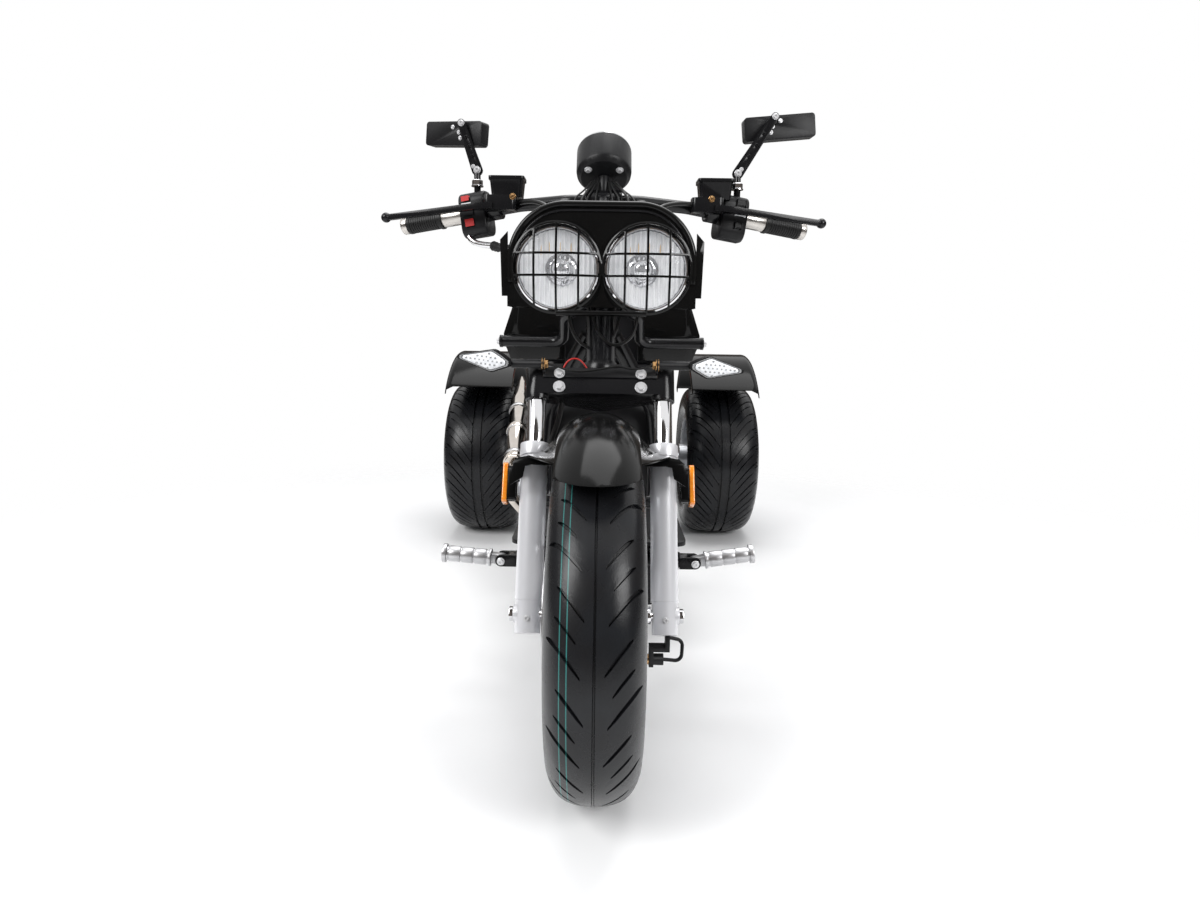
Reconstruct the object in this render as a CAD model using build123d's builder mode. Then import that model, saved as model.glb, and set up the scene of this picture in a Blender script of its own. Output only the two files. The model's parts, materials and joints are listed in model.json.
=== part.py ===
import math
import os

from build123d import *

os.makedirs("parts", exist_ok=True)

# Driving dimensions in millimetres and degrees; the front faces -Y and the trike's left is +X.
wheelbase = 1331.0
rear_track = 698.0
front_tyre_radius = 237.0
front_tyre_width = 118.0
front_bead_radius = 153.0
front_rim_half = 40.0
rear_tyre_radius = 226.0
rear_tyre_width = 206.0
rear_bead_radius = 128.0
rear_rim_half = 88.0
rake = 26.4
fork_spacing = 186.0
fork_offset = 32.0
stanchion_radius = 13.5
lower_radius = 19.0
axle_radius = 7.5
stem_radius = 12.5
head_radius = 24.0
frame_tube_radius = 13.0
floor_rail_height = 205.0
seat_rail_height = 500.0
bar_radius = 11.0
bar_height = 838.0
bar_half = 366.0
grip_radius = 16.5
lamp_height = 707.0
lamp_radius = 58.0
shield_half = 178.0
seat_half = 150.0
fender_radius = 319.0
fender_front = 44.0
fender_rear = 52.18

# Clearances and sheet thickness
running_fit = 0.05
contact_gap = 0.3
sheet = 3.0

# Stations behind the front axle
lamp_back = 150.0
cowl_back = 237.5
peg_back = 264.0
down_tube_back = 330.0
bar_back = 385.0
shield_back = 392.0
hinge_back = 738.0
pivot_back = wheelbase - 211
cradle_back = wheelbase - 116
rail_end_back = wheelbase + 159

# Shared places
overall_length = front_tyre_radius + wheelbase + fender_radius * math.sin(math.radians(fender_rear))
front_axle_y = front_tyre_radius - overall_length / 2
rear_axle_y = front_axle_y + wheelbase
sin_rake = math.sin(math.radians(rake))
cos_rake = math.cos(math.radians(rake))
fork_half = fork_spacing / 2
fork_plane = Plane(
    origin=(0, front_axle_y, front_tyre_radius), x_dir=(1, 0, 0), z_dir=(0, sin_rake, cos_rake)
)
front_axle = Axis((0, front_axle_y, front_tyre_radius), (1, 0, 0))
rear_axle = Axis((0, rear_axle_y, rear_tyre_radius), (1, 0, 0))
sides = (-1, 1)


def back(distance):
    return front_axle_y + distance


def on_fork(x, y, z):
    return fork_plane.from_local_coords(Vector(x, y, z))


def along_fork(x, y, z):
    return Plane(origin=on_fork(x, y, z), x_dir=(1, 0, 0), z_dir=fork_plane.z_dir)


def facing_front(y):
    return Plane(origin=on_fork(0, y, 0), x_dir=(1, 0, 0), z_dir=(0, -cos_rake, sin_rake))


def across(x, y, z):
    return Plane(origin=(x, y, z), x_dir=(0, 1, 0), z_dir=(1, 0, 0))


def add_tube(points, radius, bend=40.0, mode=Mode.ADD):
    with BuildLine() as path:
        if len(points) == 2:
            Line(*points)
        else:
            FilletPolyline(*points, radius=bend)
    with BuildSketch(Plane(origin=path.line @ 0, z_dir=path.line % 0)) as section:
        Circle(radius)
    sweep(sections=section.sketch, path=path.line, mode=mode)


def add_disc(plane, radius, length, inner=0.0, mode=Mode.ADD):
    with BuildSketch(plane) as section:
        Circle(radius)
        if inner > 0:
            Circle(inner, mode=Mode.SUBTRACT)
    extrude(to_extrude=section.sketch, amount=length, mode=mode)


def add_block(x_span, y_span, z_span, corner=0.0, mode=Mode.ADD):
    width = x_span[1] - x_span[0]
    depth = y_span[1] - y_span[0]
    with BuildSketch(Plane.XY.offset(z_span[0])) as section:
        with Locations(((x_span[0] + x_span[1]) / 2, (y_span[0] + y_span[1]) / 2)):
            if corner > 0:
                RectangleRounded(width, depth, corner)
            else:
                Rectangle(width, depth)
    extrude(to_extrude=section.sketch, amount=z_span[1] - z_span[0], mode=mode)


def add_outline(plane, points, depth, mode=Mode.ADD):
    with BuildSketch(plane) as section:
        with BuildLine():
            Polyline(*points, close=True)
        make_face()
    extrude(to_extrude=section.sketch, amount=depth, mode=mode)


def add_side_profile(points, x_span, mode=Mode.ADD):
    add_outline(Plane.YZ.offset(x_span[0]), points, x_span[1] - x_span[0], mode)


def build_tyre(centre_x, axle, radius, width, bead_radius, rim_half, crown_drop):
    centre = (centre_x, axle.position.Y, axle.position.Z)
    half = width / 2
    flank = (
        (0.38 * half, radius),
        (0.82 * half, radius - 0.72 * crown_drop),
        (half, radius - 0.5 * (radius - bead_radius)),
        (rim_half, bead_radius + 14),
        (rim_half, bead_radius),
    )
    with BuildPart() as tyre:
        with BuildSketch(Plane(origin=centre, x_dir=(1, 0, 0), z_dir=(0, -1, 0))):
            with BuildLine():
                Polyline(*flank, *[(-x, r) for x, r in reversed(flank)], close=True)
            make_face()
        revolve(axis=axle)
    return tyre


def rim_outline(bead_radius, rim_half):
    seat = bead_radius - contact_gap
    inner = rim_half + contact_gap
    outer = inner + 4
    right = [
        (outer, bead_radius + 10),
        (outer, seat - 6),
        (0.65 * rim_half, seat - 7),
        (0.5 * rim_half, seat - 20),
    ]
    left = [(-x, r) for x, r in reversed(right)]
    top_left = [
        (-outer, bead_radius + 10),
        (-inner, bead_radius + 10),
        (-inner, seat),
        (-0.6 * rim_half, seat),
    ]
    well = [(-0.5 * rim_half, seat - 13), (0.5 * rim_half, seat - 13)]
    top_right = [(0.6 * rim_half, seat), (inner, seat), (inner, bead_radius + 10)]
    return right + left[:-1] + top_left + well + top_right


# Front wheel
front_tyre = build_tyre(
    0, front_axle, front_tyre_radius, front_tyre_width, front_bead_radius, front_rim_half, 24
)

disc_face = -64.0
disc_thickness = 4.0
hub_half = 36.0
front_hub_plane = across(0, front_axle_y, front_tyre_radius)
spoke_mid = front_bead_radius / 2 + 5.5
with BuildPart() as front_rim:
    with BuildSketch(Plane(origin=front_axle.position, x_dir=(1, 0, 0), z_dir=(0, -1, 0))):
        with BuildLine():
            Polyline(*rim_outline(front_bead_radius, front_rim_half), close=True)
        make_face()
    revolve(axis=front_axle)
    with BuildSketch(front_hub_plane) as spokes:
        with PolarLocations(spoke_mid, 5):
            Trapezoid(44, 112, 86, rotation=90)
        with PolarLocations(spoke_mid + 6, 5):
            SlotOverall(68, 14, mode=Mode.SUBTRACT)
    extrude(amount=12, both=True)
    add_disc(front_hub_plane.offset(-hub_half), 30, 2 * hub_half)
    add_disc(front_hub_plane.offset(disc_face), 48, -hub_half - disc_face)
    add_disc(front_hub_plane.offset(-100), axle_radius + running_fit, 200, mode=Mode.SUBTRACT)

disc_radius = 92.0
with BuildPart() as front_brake_disc:
    with BuildSketch(front_hub_plane.offset(disc_face - disc_thickness)):
        Circle(disc_radius)
        Circle(32, mode=Mode.SUBTRACT)
        with PolarLocations(80, 12):
            Circle(3.5, mode=Mode.SUBTRACT)
        with PolarLocations(66, 12, start_angle=15):
            Circle(3.5, mode=Mode.SUBTRACT)
    extrude(amount=disc_thickness)

# Fork, axle and steering stem, by heights along the raked fork
lower_bottom = -26.0
lower_step = 18.0
collar_start = 223.0
lower_top = 241.0
stanchion_bottom = 110.0
crown_bottom = 310.0
plate_bottom = 316.0
plate_top = 352.0
crown_top = 360.0
head_bottom = 366.0
head_top = 530.0
stem_top = 560.0
collar_radius = lower_radius + 2.5
crown_boss = stanchion_radius + 4
boss_face = fork_half + lower_radius + 0.5
with BuildPart() as fork_lowers:
    for side in sides:
        leg = along_fork(side * fork_half, 0, 0)
        add_disc(leg.offset(lower_bottom), lower_radius - 1.5, lower_step - lower_bottom)
        add_disc(leg.offset(lower_step), lower_radius, collar_start - lower_step)
        add_disc(leg.offset(collar_start), collar_radius, lower_top - collar_start)
        add_disc(
            leg.offset(stanchion_bottom - 2),
            stanchion_radius + contact_gap,
            lower_top - stanchion_bottom + 2,
            mode=Mode.SUBTRACT,
        )
        add_disc(front_hub_plane.offset(side * fork_half), 12, side * (boss_face - fork_half))
    add_disc(front_hub_plane.offset(-boss_face), axle_radius, 2 * boss_face, mode=Mode.SUBTRACT)

with BuildPart() as fork_stanchions:
    for side in sides:
        leg = along_fork(side * fork_half, 0, stanchion_bottom)
        add_disc(leg, stanchion_radius, crown_top + 4 - stanchion_bottom)

collar_reach = fork_half - lower_radius
disc_outer = disc_face - disc_thickness
with BuildPart() as front_axle_shaft:
    add_disc(front_hub_plane.offset(-boss_face), axle_radius, 2 * boss_face)
    for side in sides:
        with BuildSketch(front_hub_plane.offset(side * boss_face)) as nut:
            RegularPolygon(10, 6)
        extrude(to_extrude=nut.sketch, amount=side * 6)
    add_disc(front_hub_plane.offset(-collar_reach), 12, disc_outer + collar_reach - 0.6)
    add_disc(front_hub_plane.offset(hub_half + 0.6), 12, collar_reach - hub_half - 0.6)
    add(fork_lowers.part, mode=Mode.SUBTRACT)

with BuildPart() as fork_crown:
    with BuildSketch(fork_plane.offset(plate_bottom)):
        with Locations((-fork_half, 0), (fork_half, 0)):
            Circle(crown_boss)
        with Locations((0, fork_offset)):
            Circle(27)
        make_hull()
    extrude(amount=plate_top - plate_bottom)
    for side in sides:
        clamp = along_fork(side * fork_half, 0, crown_bottom)
        add_disc(clamp, crown_boss, crown_top - crown_bottom)
        add_disc(clamp, stanchion_radius, crown_top - crown_bottom, mode=Mode.SUBTRACT)
    stem_plane = along_fork(0, fork_offset, plate_top)
    add_disc(stem_plane, 26, head_bottom - contact_gap - plate_top)
    add_disc(stem_plane, stem_radius, stem_top - plate_top)

# Front mudguard: a domed strip round the tyre, swept into a wing and a flap at each fork leg
dome_front = 42.0
dome_rear = 58.0
dome_radius = front_tyre_radius + 39
dome_half = 52.0
dome_drop = 26.0
wing_front = -46.0
wing_rear = 28.0
skirt_front = -190.0
skirt_top = 0.635 * dome_radius
wing_tip = fork_half + 26
lip_height = front_tyre_radius + 215
wing_top = collar_start - 14
tyre_room = build_tyre(
    0, front_axle, front_tyre_radius + 7, front_tyre_width + 14, front_bead_radius, front_rim_half, 24
)
with BuildPart() as front_fender:
    dome_start = Plane(origin=front_axle.position, x_dir=(1, 0, 0), z_dir=(0, -1, 0))
    dome_start = dome_start.rotated((dome_front, 0, 0))
    with BuildSketch(dome_start) as dome:
        with BuildLine():
            edge = dome_radius - dome_drop
            ThreePointArc((-dome_half, edge), (0, dome_radius), (dome_half, edge))
            Line((dome_half, edge), (dome_half - sheet, edge))
            ThreePointArc((dome_half - sheet, edge), (0, dome_radius - sheet), (sheet - dome_half, edge))
            Line((sheet - dome_half, edge), (-dome_half, edge))
        make_face()
    revolve(dome.sketch, axis=front_axle, revolution_arc=-(dome_front + dome_rear))
    wing_root = (dome_half - 5, edge + 1)
    with BuildSketch(facing_front(wing_front)) as wing:
        with BuildLine():
            ThreePointArc(wing_root, (0.66 * wing_tip, wing_top + 10), (wing_tip - 8, wing_top))
            Polyline(
                (wing_tip - 8, wing_top), (wing_tip, wing_top - 7), (wing_tip, wing_top - 17),
                (fork_half, wing_top - 10), (dome_half - 2, wing_top - 12), wing_root,
            )
        make_face()
    extrude(to_extrude=wing.sketch, amount=wing_front - wing_rear)
    skirt_ends = (
        (wing_front - 1, (wing_root, (0.66 * wing_tip, wing_top + 9), (wing_tip - 20, wing_top + 3))),
        (
            skirt_front,
            ((dome_half - 12, skirt_top), (dome_half - 6, skirt_top - 7), (dome_half, skirt_top - 15)),
        ),
    )
    skirts = []
    for y, crest in skirt_ends:
        with BuildSketch(facing_front(y)) as skirt:
            with BuildLine():
                Polyline(*crest, *[(x, z - sheet) for x, z in reversed(crest)], close=True)
            make_face()
        skirts.append(skirt.sketch)
    loft(sections=skirts, ruled=True)
    pocket = (
        (dome_half + 4, edge - 13), (0.66 * wing_tip, wing_top + 6), (wing_tip - 9, wing_top - 4),
        (wing_tip - sheet, wing_top - 9), (wing_tip - sheet, wing_top - 40), (dome_half + 4, wing_top - 40),
    )
    add_outline(facing_front(wing_front + sheet), pocket, wing_front - wing_rear, mode=Mode.SUBTRACT)
    recess = ((dome_half + 4, edge - 12), (0.61 * wing_tip, wing_top + 10), (dome_half + 12, wing_top + 4))
    add_outline(facing_front(wing_front + 1.5), recess, 4, mode=Mode.SUBTRACT)
    flap = (
        (wing_tip - 18, wing_top - 8), (wing_tip, wing_top - 8), (wing_tip + 2, wing_top - 40),
        (wing_tip - 15, wing_top - 28),
    )
    add_outline(facing_front(wing_front), flap, -sheet)
    reflector_plane = Plane(
        origin=on_fork(wing_tip - 2, -3, wing_top - 27), x_dir=(0, cos_rake, -sin_rake), z_dir=(1, 0, 0)
    )
    with BuildSketch(reflector_plane) as backing:
        RectangleRounded(20, 50, 5)
    extrude(to_extrude=backing.sketch, amount=12)
    leg = along_fork(fork_half, 0, wing_top - 90)
    add_disc(leg, lower_radius + contact_gap, collar_start - wing_top + 89, mode=Mode.SUBTRACT)
    add_disc(leg.offset(collar_start - wing_top + 89), collar_radius + 1, 60, mode=Mode.SUBTRACT)
    mirror(about=Plane.YZ)
    add_block((-wing_tip, wing_tip), (back(-dome_radius), back(-100)), (0, lip_height), mode=Mode.SUBTRACT)
    add(tyre_room.part, mode=Mode.SUBTRACT)

with BuildPart() as fork_reflectors:
    with BuildSketch(reflector_plane.offset(12)) as lens:
        RectangleRounded(24, 58, 5)
    extrude(to_extrude=lens.sketch, amount=7)
    mirror(about=Plane.YZ)

caliper_inner = -50.0
with BuildPart() as front_brake_caliper:
    caliper_plane = Plane(origin=on_fork(0, 0, 30), x_dir=(0, cos_rake, -sin_rake), z_dir=(1, 0, 0))
    with BuildSketch(caliper_plane.offset(-fork_half + 6)) as body:
        with Locations((disc_radius - 10, 0)):
            RectangleRounded(52, 70, 10)
    extrude(to_extrude=body.sketch, amount=fork_half - 6 + caliper_inner)
    with BuildSketch(caliper_plane.offset(disc_outer - 5)) as slot:
        with Locations((disc_radius + 5 - 40, 0)):
            Rectangle(80, 90)
    extrude(to_extrude=slot.sketch, amount=disc_thickness + 10, mode=Mode.SUBTRACT)
    add_tube([on_fork(-fork_half + 2, 14, 40), on_fork(-fork_half + 2, disc_radius - 28, 40)], 7)
    add(fork_lowers.part, mode=Mode.SUBTRACT)

# Speed sensor on a stepped strip under the left fork foot, with its lead
sensor_x = fork_half + 5
sensor_z = front_tyre_radius - 64
with BuildPart() as speed_sensor:
    strip = (
        (sensor_x - 3, sensor_z + 40), (sensor_x + 3, sensor_z + 40), (sensor_x + 3, sensor_z + 14),
        (sensor_x - 19, sensor_z + 14), (sensor_x - 19, sensor_z - 8), (sensor_x - 25, sensor_z - 8),
        (sensor_x - 25, sensor_z + 20), (sensor_x - 3, sensor_z + 20),
    )
    add_outline(Plane.XZ.offset(-front_axle_y - 12), strip, 18)
    add_disc(across(sensor_x - 36, front_axle_y + 3, sensor_z), 5, 11)
    add_disc(across(sensor_x - 19, front_axle_y + 3, sensor_z), 8, 14)
    add_tube(
        [
            (sensor_x - 6, front_axle_y + 3, sensor_z),
            (sensor_x + 20, front_axle_y + 3, sensor_z - 2),
            (sensor_x + 22, front_axle_y + 12, sensor_z + 24),
            (sensor_x + 2, front_axle_y + 8, sensor_z + 30),
        ],
        2.5,
        9,
    )
    add(fork_lowers.part, mode=Mode.SUBTRACT)

# Front turn signals: kite-shaped lenses on stalks from a strap across the fork crown
signal_z = plate_top + 4
signal_y = -30.0
signal_inner = fork_half + 37
strap_end = fork_half - 9
with BuildPart() as front_signal_stalks:
    add_outline(
        facing_front(-crown_boss),
        (
            (-strap_end, plate_top - 12), (strap_end, plate_top - 12),
            (strap_end, plate_top + 3), (-strap_end, plate_top + 3),
        ),
        sheet,
    )
    for side in sides:
        tab = Plane(
            origin=on_fork(side * strap_end, signal_y, signal_z),
            x_dir=(0, cos_rake, -sin_rake),
            z_dir=(side, 0, 0),
        )
        with BuildSketch(tab) as ear:
            Circle(9)
            with Locations((0.5 * (-crown_boss - signal_y), -6 * side)):
                Rectangle(-crown_boss - signal_y, 12)
        extrude(to_extrude=ear.sketch, amount=-sheet)
        add_disc(tab, 6.5, signal_inner - strap_end)
    add(fork_crown.part, mode=Mode.SUBTRACT)

signal_tilts = {-1: 8.0, 1: -4.0}
with BuildPart() as front_signal_lenses:
    for side in sides:
        kite = ((0, 4), (23, 16), (30, 16.5), (75, 3), (78, -1), (75, -4), (30, -15.5), (22, -15), (0, -4))
        turn = math.radians(signal_tilts[side])
        shell = Plane(
            origin=on_fork(side * signal_inner, signal_y, signal_z),
            x_dir=(math.cos(turn), 0, side * math.sin(turn)),
            z_dir=(0, -1, 0),
        )
        add_outline(shell.offset(-14), [(side * x, z) for x, z in kite], 28)
    add(front_signal_stalks.part, mode=Mode.SUBTRACT)

# Handlebar, riser and grips
bar_centre = (0, back(bar_back), bar_height)
bar_bend = (60, back(bar_back), bar_height)
bar_knee = (150, back(bar_back + 55), bar_height)
bar_end = (bar_half, back(bar_back + 112), bar_height - 30)
bar_points = [(-p[0], p[1], p[2]) for p in (bar_end, bar_knee, bar_bend)]
bar_points += [bar_bend, bar_knee, bar_end]
with BuildPart() as handlebar:
    add_tube(bar_points, bar_radius, 40)

with BuildPart() as handlebar_riser:
    add_tube(
        [on_fork(0, fork_offset, head_top + 0.5), on_fork(0, fork_offset, head_top + 90), bar_centre], 17, 50
    )
    add_tube([(-32, bar_centre[1], bar_centre[2]), (32, bar_centre[1], bar_centre[2])], bar_radius + 8)
    add(handlebar.part, mode=Mode.SUBTRACT)
    add_disc(along_fork(0, fork_offset, head_top), stem_radius, stem_top - head_top, mode=Mode.SUBTRACT)


def grip_plane(side, inward):
    tip = Vector(side * bar_end[0], bar_end[1], bar_end[2])
    knee = Vector(side * bar_knee[0], bar_knee[1], bar_knee[2])
    run = (knee - tip).normalized()
    return Plane(origin=tip + run * inward, x_dir=(0, 0, 1), z_dir=run)


cap_length = 12.0
rubber_length = 72.0
ferrule_length = 42.0
housing_length = 50.0
housing_start = rubber_length + ferrule_length
with BuildPart() as grips:
    for side in sides:
        add_disc(grip_plane(side, 0), grip_radius, rubber_length, inner=bar_radius)

with BuildPart() as grip_metal:
    for side in sides:
        add_disc(grip_plane(side, rubber_length), grip_radius - 1, ferrule_length, inner=bar_radius)
        add_disc(grip_plane(side, -cap_length), grip_radius - 0.5, cap_length)

with BuildPart() as switch_housings:
    for side in sides:
        with BuildSketch(grip_plane(side, housing_start)) as body:
            with Locations((-4, 0)):
                RectangleRounded(80, 46, 18)
            Circle(bar_radius, mode=Mode.SUBTRACT)
        extrude(to_extrude=body.sketch, amount=housing_length)

# Master cylinders: bar clamp, cylinder along the bar and a lidded reservoir on top
reservoir_x = {-1: 174.0, 1: 200.0}
reservoir_y = back(bar_back + 62)
reservoir_bottom = bar_height + 13
reservoir_top = reservoir_bottom + 30
with BuildPart() as brake_master_cylinders:
    for side in sides:
        spot = (side * reservoir_x[side], reservoir_y)
        with BuildSketch(Plane.XY.offset(reservoir_bottom)) as cup_bottom:
            with Locations(spot):
                RectangleRounded(54, 38, 6)
        with BuildSketch(Plane.XY.offset(reservoir_top)) as cup_top:
            with Locations(spot):
                RectangleRounded(60, 44, 6)
        loft(sections=(cup_bottom.sketch, cup_top.sketch))
        with BuildSketch(Plane.XY.offset(reservoir_top)) as lid:
            with Locations(spot):
                RectangleRounded(64, 48, 6)
        extrude(to_extrude=lid.sketch, amount=6)
        add_block(
            sorted((side * 156, side * 212)), (back(bar_back + 19), back(bar_back + 55)),
            (bar_height - 12, reservoir_bottom), corner=8,
        )
        add_disc(grip_plane(side, housing_start + housing_length + 2), bar_radius + 7, 22)
    add(handlebar.part, mode=Mode.SUBTRACT)
    add(switch_housings.part, mode=Mode.SUBTRACT)

# Ball-ended levers, drooping outward from their pivots
lever_droop = 5.0
lever_plane = Plane(
    origin=(196, back(bar_back), bar_height - 10),
    x_dir=(math.cos(math.radians(lever_droop)), 0, -math.sin(math.radians(lever_droop))),
    z_dir=(math.sin(math.radians(lever_droop)), 0, math.cos(math.radians(lever_droop))),
)
with BuildPart() as brake_levers:
    blade = (
        (0, 15), (34, 13), (200, 61), (200, 73), (34, 33), (19.5, 43), (19.5, 18.5), (0, 18.5),
    )
    add_outline(lever_plane, blade, 10)
    with Locations(lever_plane.from_local_coords(Vector(202, 67, 5))):
        Sphere(9)
    mirror(about=Plane.YZ)

# Mirrors, each at its own adjustment: side, stem x, head centre x and z, head yaw and tilt
mirror_back = 500.0
mirror_settings = ((-1, 232.0, 274.0, 972.0, 30.0, -6.0), (1, 244.0, 321.0, 990.0, 4.0, 6.0))
mirror_width = 132.0
mirror_height = 42.0
stem_y = back(bar_back + 81)
stem_z = bar_height + 27


def mirror_face(side, stem_x, head_x, head_z, yaw, tilt):
    turn = math.radians(yaw)
    roll = math.radians(tilt)
    normal = (-side * math.sin(turn), math.cos(turn), 0)
    level = Vector(math.cos(turn), side * math.sin(turn), 0)
    return Plane(
        origin=(side * head_x, back(mirror_back), head_z),
        x_dir=level * math.cos(roll) + Vector(0, 0, math.sin(roll)),
        z_dir=normal,
    )


with BuildPart() as mirror_arms:
    for side, stem_x, head_x, head_z, yaw, tilt in mirror_settings:
        foot = (side * stem_x, stem_y, stem_z)
        knuckle = (foot[0], foot[1], foot[2] + 38)
        tip = (side * (head_x - 14), back(mirror_back - 26), head_z + 12)
        add_disc(Plane(origin=(foot[0], foot[1], bar_height), z_dir=(0, 0, 1)), 6, stem_z + 32 - bar_height)
        with BuildSketch(Plane.XZ.offset(-knuckle[1] - 3)) as link:
            with Locations((knuckle[0], knuckle[2])):
                Circle(10)
            with Locations((tip[0], tip[2])):
                Circle(7)
            make_hull()
            for share in (0.3, 0.5, 0.7):
                hole_x = knuckle[0] + share * (tip[0] - knuckle[0])
                hole_z = knuckle[2] + share * (tip[2] - knuckle[2])
                with Locations((hole_x, hole_z)):
                    Circle(3.2, mode=Mode.SUBTRACT)
        extrude(to_extrude=link.sketch, amount=6)
        add_tube([(tip[0], knuckle[1], tip[2]), (side * (head_x - 10), back(mirror_back - 4), head_z + 6)], 5)
    for piece in (handlebar, switch_housings, brake_master_cylinders):
        add(piece.part, mode=Mode.SUBTRACT)

with BuildPart() as mirror_heads:
    for setting in mirror_settings:
        face = mirror_face(*setting)
        with BuildSketch(face.offset(-12)) as shell:
            RectangleRounded(mirror_width, mirror_height, 6)
        extrude(to_extrude=shell.sketch, amount=22)
        with BuildSketch(face.offset(8)) as recess:
            RectangleRounded(mirror_width - 8, mirror_height - 8, 4)
        extrude(to_extrude=recess.sketch, amount=4, mode=Mode.SUBTRACT)
    add(mirror_arms.part, mode=Mode.SUBTRACT)

with BuildPart() as mirror_glasses:
    for setting in mirror_settings:
        with BuildSketch(mirror_face(*setting).offset(8)) as glass:
            RectangleRounded(mirror_width - 9, mirror_height - 9, 3.5)
        extrude(to_extrude=glass.sketch, amount=1.5)

gauge_tilt = 33.0
gauge_lean = (0, math.sin(math.radians(gauge_tilt)), math.cos(math.radians(gauge_tilt)))
gauge_foot = Vector(0, back(bar_back + 7), bar_height + 40)
with BuildPart() as gauge_pod:
    gauge_side = Plane(origin=gauge_foot, x_dir=(1, 0, 0), z_dir=(0, -gauge_lean[2], gauge_lean[1]))
    with BuildSketch(gauge_side) as cup:
        with BuildLine():
            Polyline((0, 0), (40, 0), (47, 8), (48, 14), (48, 56))
            TangentArc((48, 56), (44, 60), tangent=(0, 1))
            Polyline((44, 60), (0, 60), (0, 0))
        make_face()
    revolve(cup.sketch, axis=Axis(gauge_foot, gauge_lean))
    add_tube([gauge_foot + Vector(0, 0, 2), (0, back(bar_back + 1), bar_height + 8)], 10)
    add(handlebar.part, mode=Mode.SUBTRACT)
    add(handlebar_riser.part, mode=Mode.SUBTRACT)

# Front brake hose and throttle cable, which turn with the handlebar
with BuildPart() as control_cables:
    for side in sides:
        add_tube(
            [
                (side * (reservoir_x[side] - 26), back(bar_back + 38), bar_height + 2),
                (side * 112, back(bar_back + 1), bar_height + 4),
                (side * 72, back(bar_back - 55), bar_height - 38),
                (side * 40, back(bar_back - 63), bar_height - 78),
            ],
            4,
            20,
        )
    add_tube(
        [
            on_fork(-58, 24, plate_bottom + 8),
            on_fork(-58, 30, plate_bottom - 16),
            on_fork(-82, 54, collar_start + 20),
            on_fork(-84, 62, 150),
            on_fork(-84, 84, 60),
        ],
        4,
        18,
    )
    for piece in (brake_master_cylinders, handlebar, handlebar_riser, fork_crown, front_brake_caliper):
        add(piece.part, mode=Mode.SUBTRACT)

# Frame: head tube, bent side rails, engine cradle and cross tubes
rail_half = 120.0
seat_rail_half = 125.0
cradle_drop = 10.0
pivot_height = floor_rail_height - 9
rail_points = (
    on_fork(20, fork_offset + 14.4, 441.7),
    (92, back(down_tube_back - 8), 480),
    (rail_half, back(down_tube_back), floor_rail_height),
    (rail_half, back(hinge_back - 12), floor_rail_height),
    (seat_rail_half, back(hinge_back + 18), seat_rail_height),
    (seat_rail_half, back(rail_end_back), seat_rail_height),
)
cradle_points = (
    (rail_half, back(hinge_back - 38), floor_rail_height),
    (rail_half, back(cradle_back - 25), floor_rail_height - cradle_drop),
    (seat_rail_half, back(cradle_back), seat_rail_height),
)
lamp_bar_radius = 8.0
lamp_bar_y = back(cowl_back) + lamp_bar_radius + 0.2
lamp_bar_z = on_fork(0, fork_offset, head_top - 9).Z
with BuildPart() as frame_head:
    head_plane = along_fork(0, fork_offset, head_bottom)
    add_disc(head_plane, head_radius, head_top - head_bottom)
    add_disc(head_plane, head_radius + 4, 14)
    add_disc(head_plane.offset(head_top - head_bottom - 14), head_radius + 4, 14)
    add_tube([(-70, lamp_bar_y, lamp_bar_z), (70, lamp_bar_y, lamp_bar_z)], lamp_bar_radius)
    add_disc(head_plane, stem_radius + running_fit, head_top - head_bottom, mode=Mode.SUBTRACT)

head_core = along_fork(0, fork_offset, head_bottom - 20)
with BuildPart() as frame_rails:
    add_tube(rail_points, frame_tube_radius, 55)
    mirror(about=Plane.YZ)
    add_disc(head_core, stem_radius + 6, 250, mode=Mode.SUBTRACT)
    add(frame_head.part, mode=Mode.SUBTRACT)

with BuildPart() as engine_cradle:
    add_tube(cradle_points, frame_tube_radius - 1, 50)
    pivot_y = back(pivot_back)
    add_tube([(rail_half, pivot_y, pivot_height), (rail_half + 52, pivot_y, pivot_height)], 8)
    mirror(about=Plane.YZ)
    add(frame_rails.part, mode=Mode.SUBTRACT)

cross_radius = 10.0
apron_tube_back = down_tube_back - 3
engine_tube_height = floor_rail_height - 6
cross_tubes = (
    (back(apron_tube_back), 320),
    (back(shield_back + 28), floor_rail_height),
    (back(hinge_back - 78), floor_rail_height),
    (back(900), engine_tube_height),
    (back(pivot_back - 30), engine_tube_height - 2),
    (back(hinge_back + 52), seat_rail_height),
    (back(cradle_back + 15), seat_rail_height),
    (back(rail_end_back - 20), seat_rail_height),
)
hinge_height = seat_rail_height + 26
hinge_pin_radius = 5.0
brace_radius = 13.4
brace_height = rear_tyre_radius + fender_radius - 18.4
with BuildPart() as frame_crossmembers:
    for y, z in cross_tubes:
        add_tube([(-rail_half + 2, y, z), (rail_half - 2, y, z)], cross_radius)
    for side in sides:
        add_side_profile(
            (
                (back(hinge_back - 9), hinge_height - 9),
                (back(hinge_back - 9), hinge_height + 9),
                (back(hinge_back + 9), hinge_height + 9),
                (back(hinge_back + 58), seat_rail_height + 8),
                (back(hinge_back + 58), seat_rail_height - 8),
                (back(hinge_back + 44), seat_rail_height - 8),
            ),
            sorted((side * 60, side * 66)),
        )
        add_tube(
            [
                (side * seat_rail_half, rear_axle_y, seat_rail_height),
                (side * seat_rail_half, rear_axle_y, brace_height),
            ],
            9,
        )
    add_tube([(-66, back(hinge_back), hinge_height), (66, back(hinge_back), hinge_height)], hinge_pin_radius)
    add_tube([(-300, rear_axle_y, brace_height), (300, rear_axle_y, brace_height)], brace_radius)
    add(frame_rails.part, mode=Mode.SUBTRACT)
    add(engine_cradle.part, mode=Mode.SUBTRACT)

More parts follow.
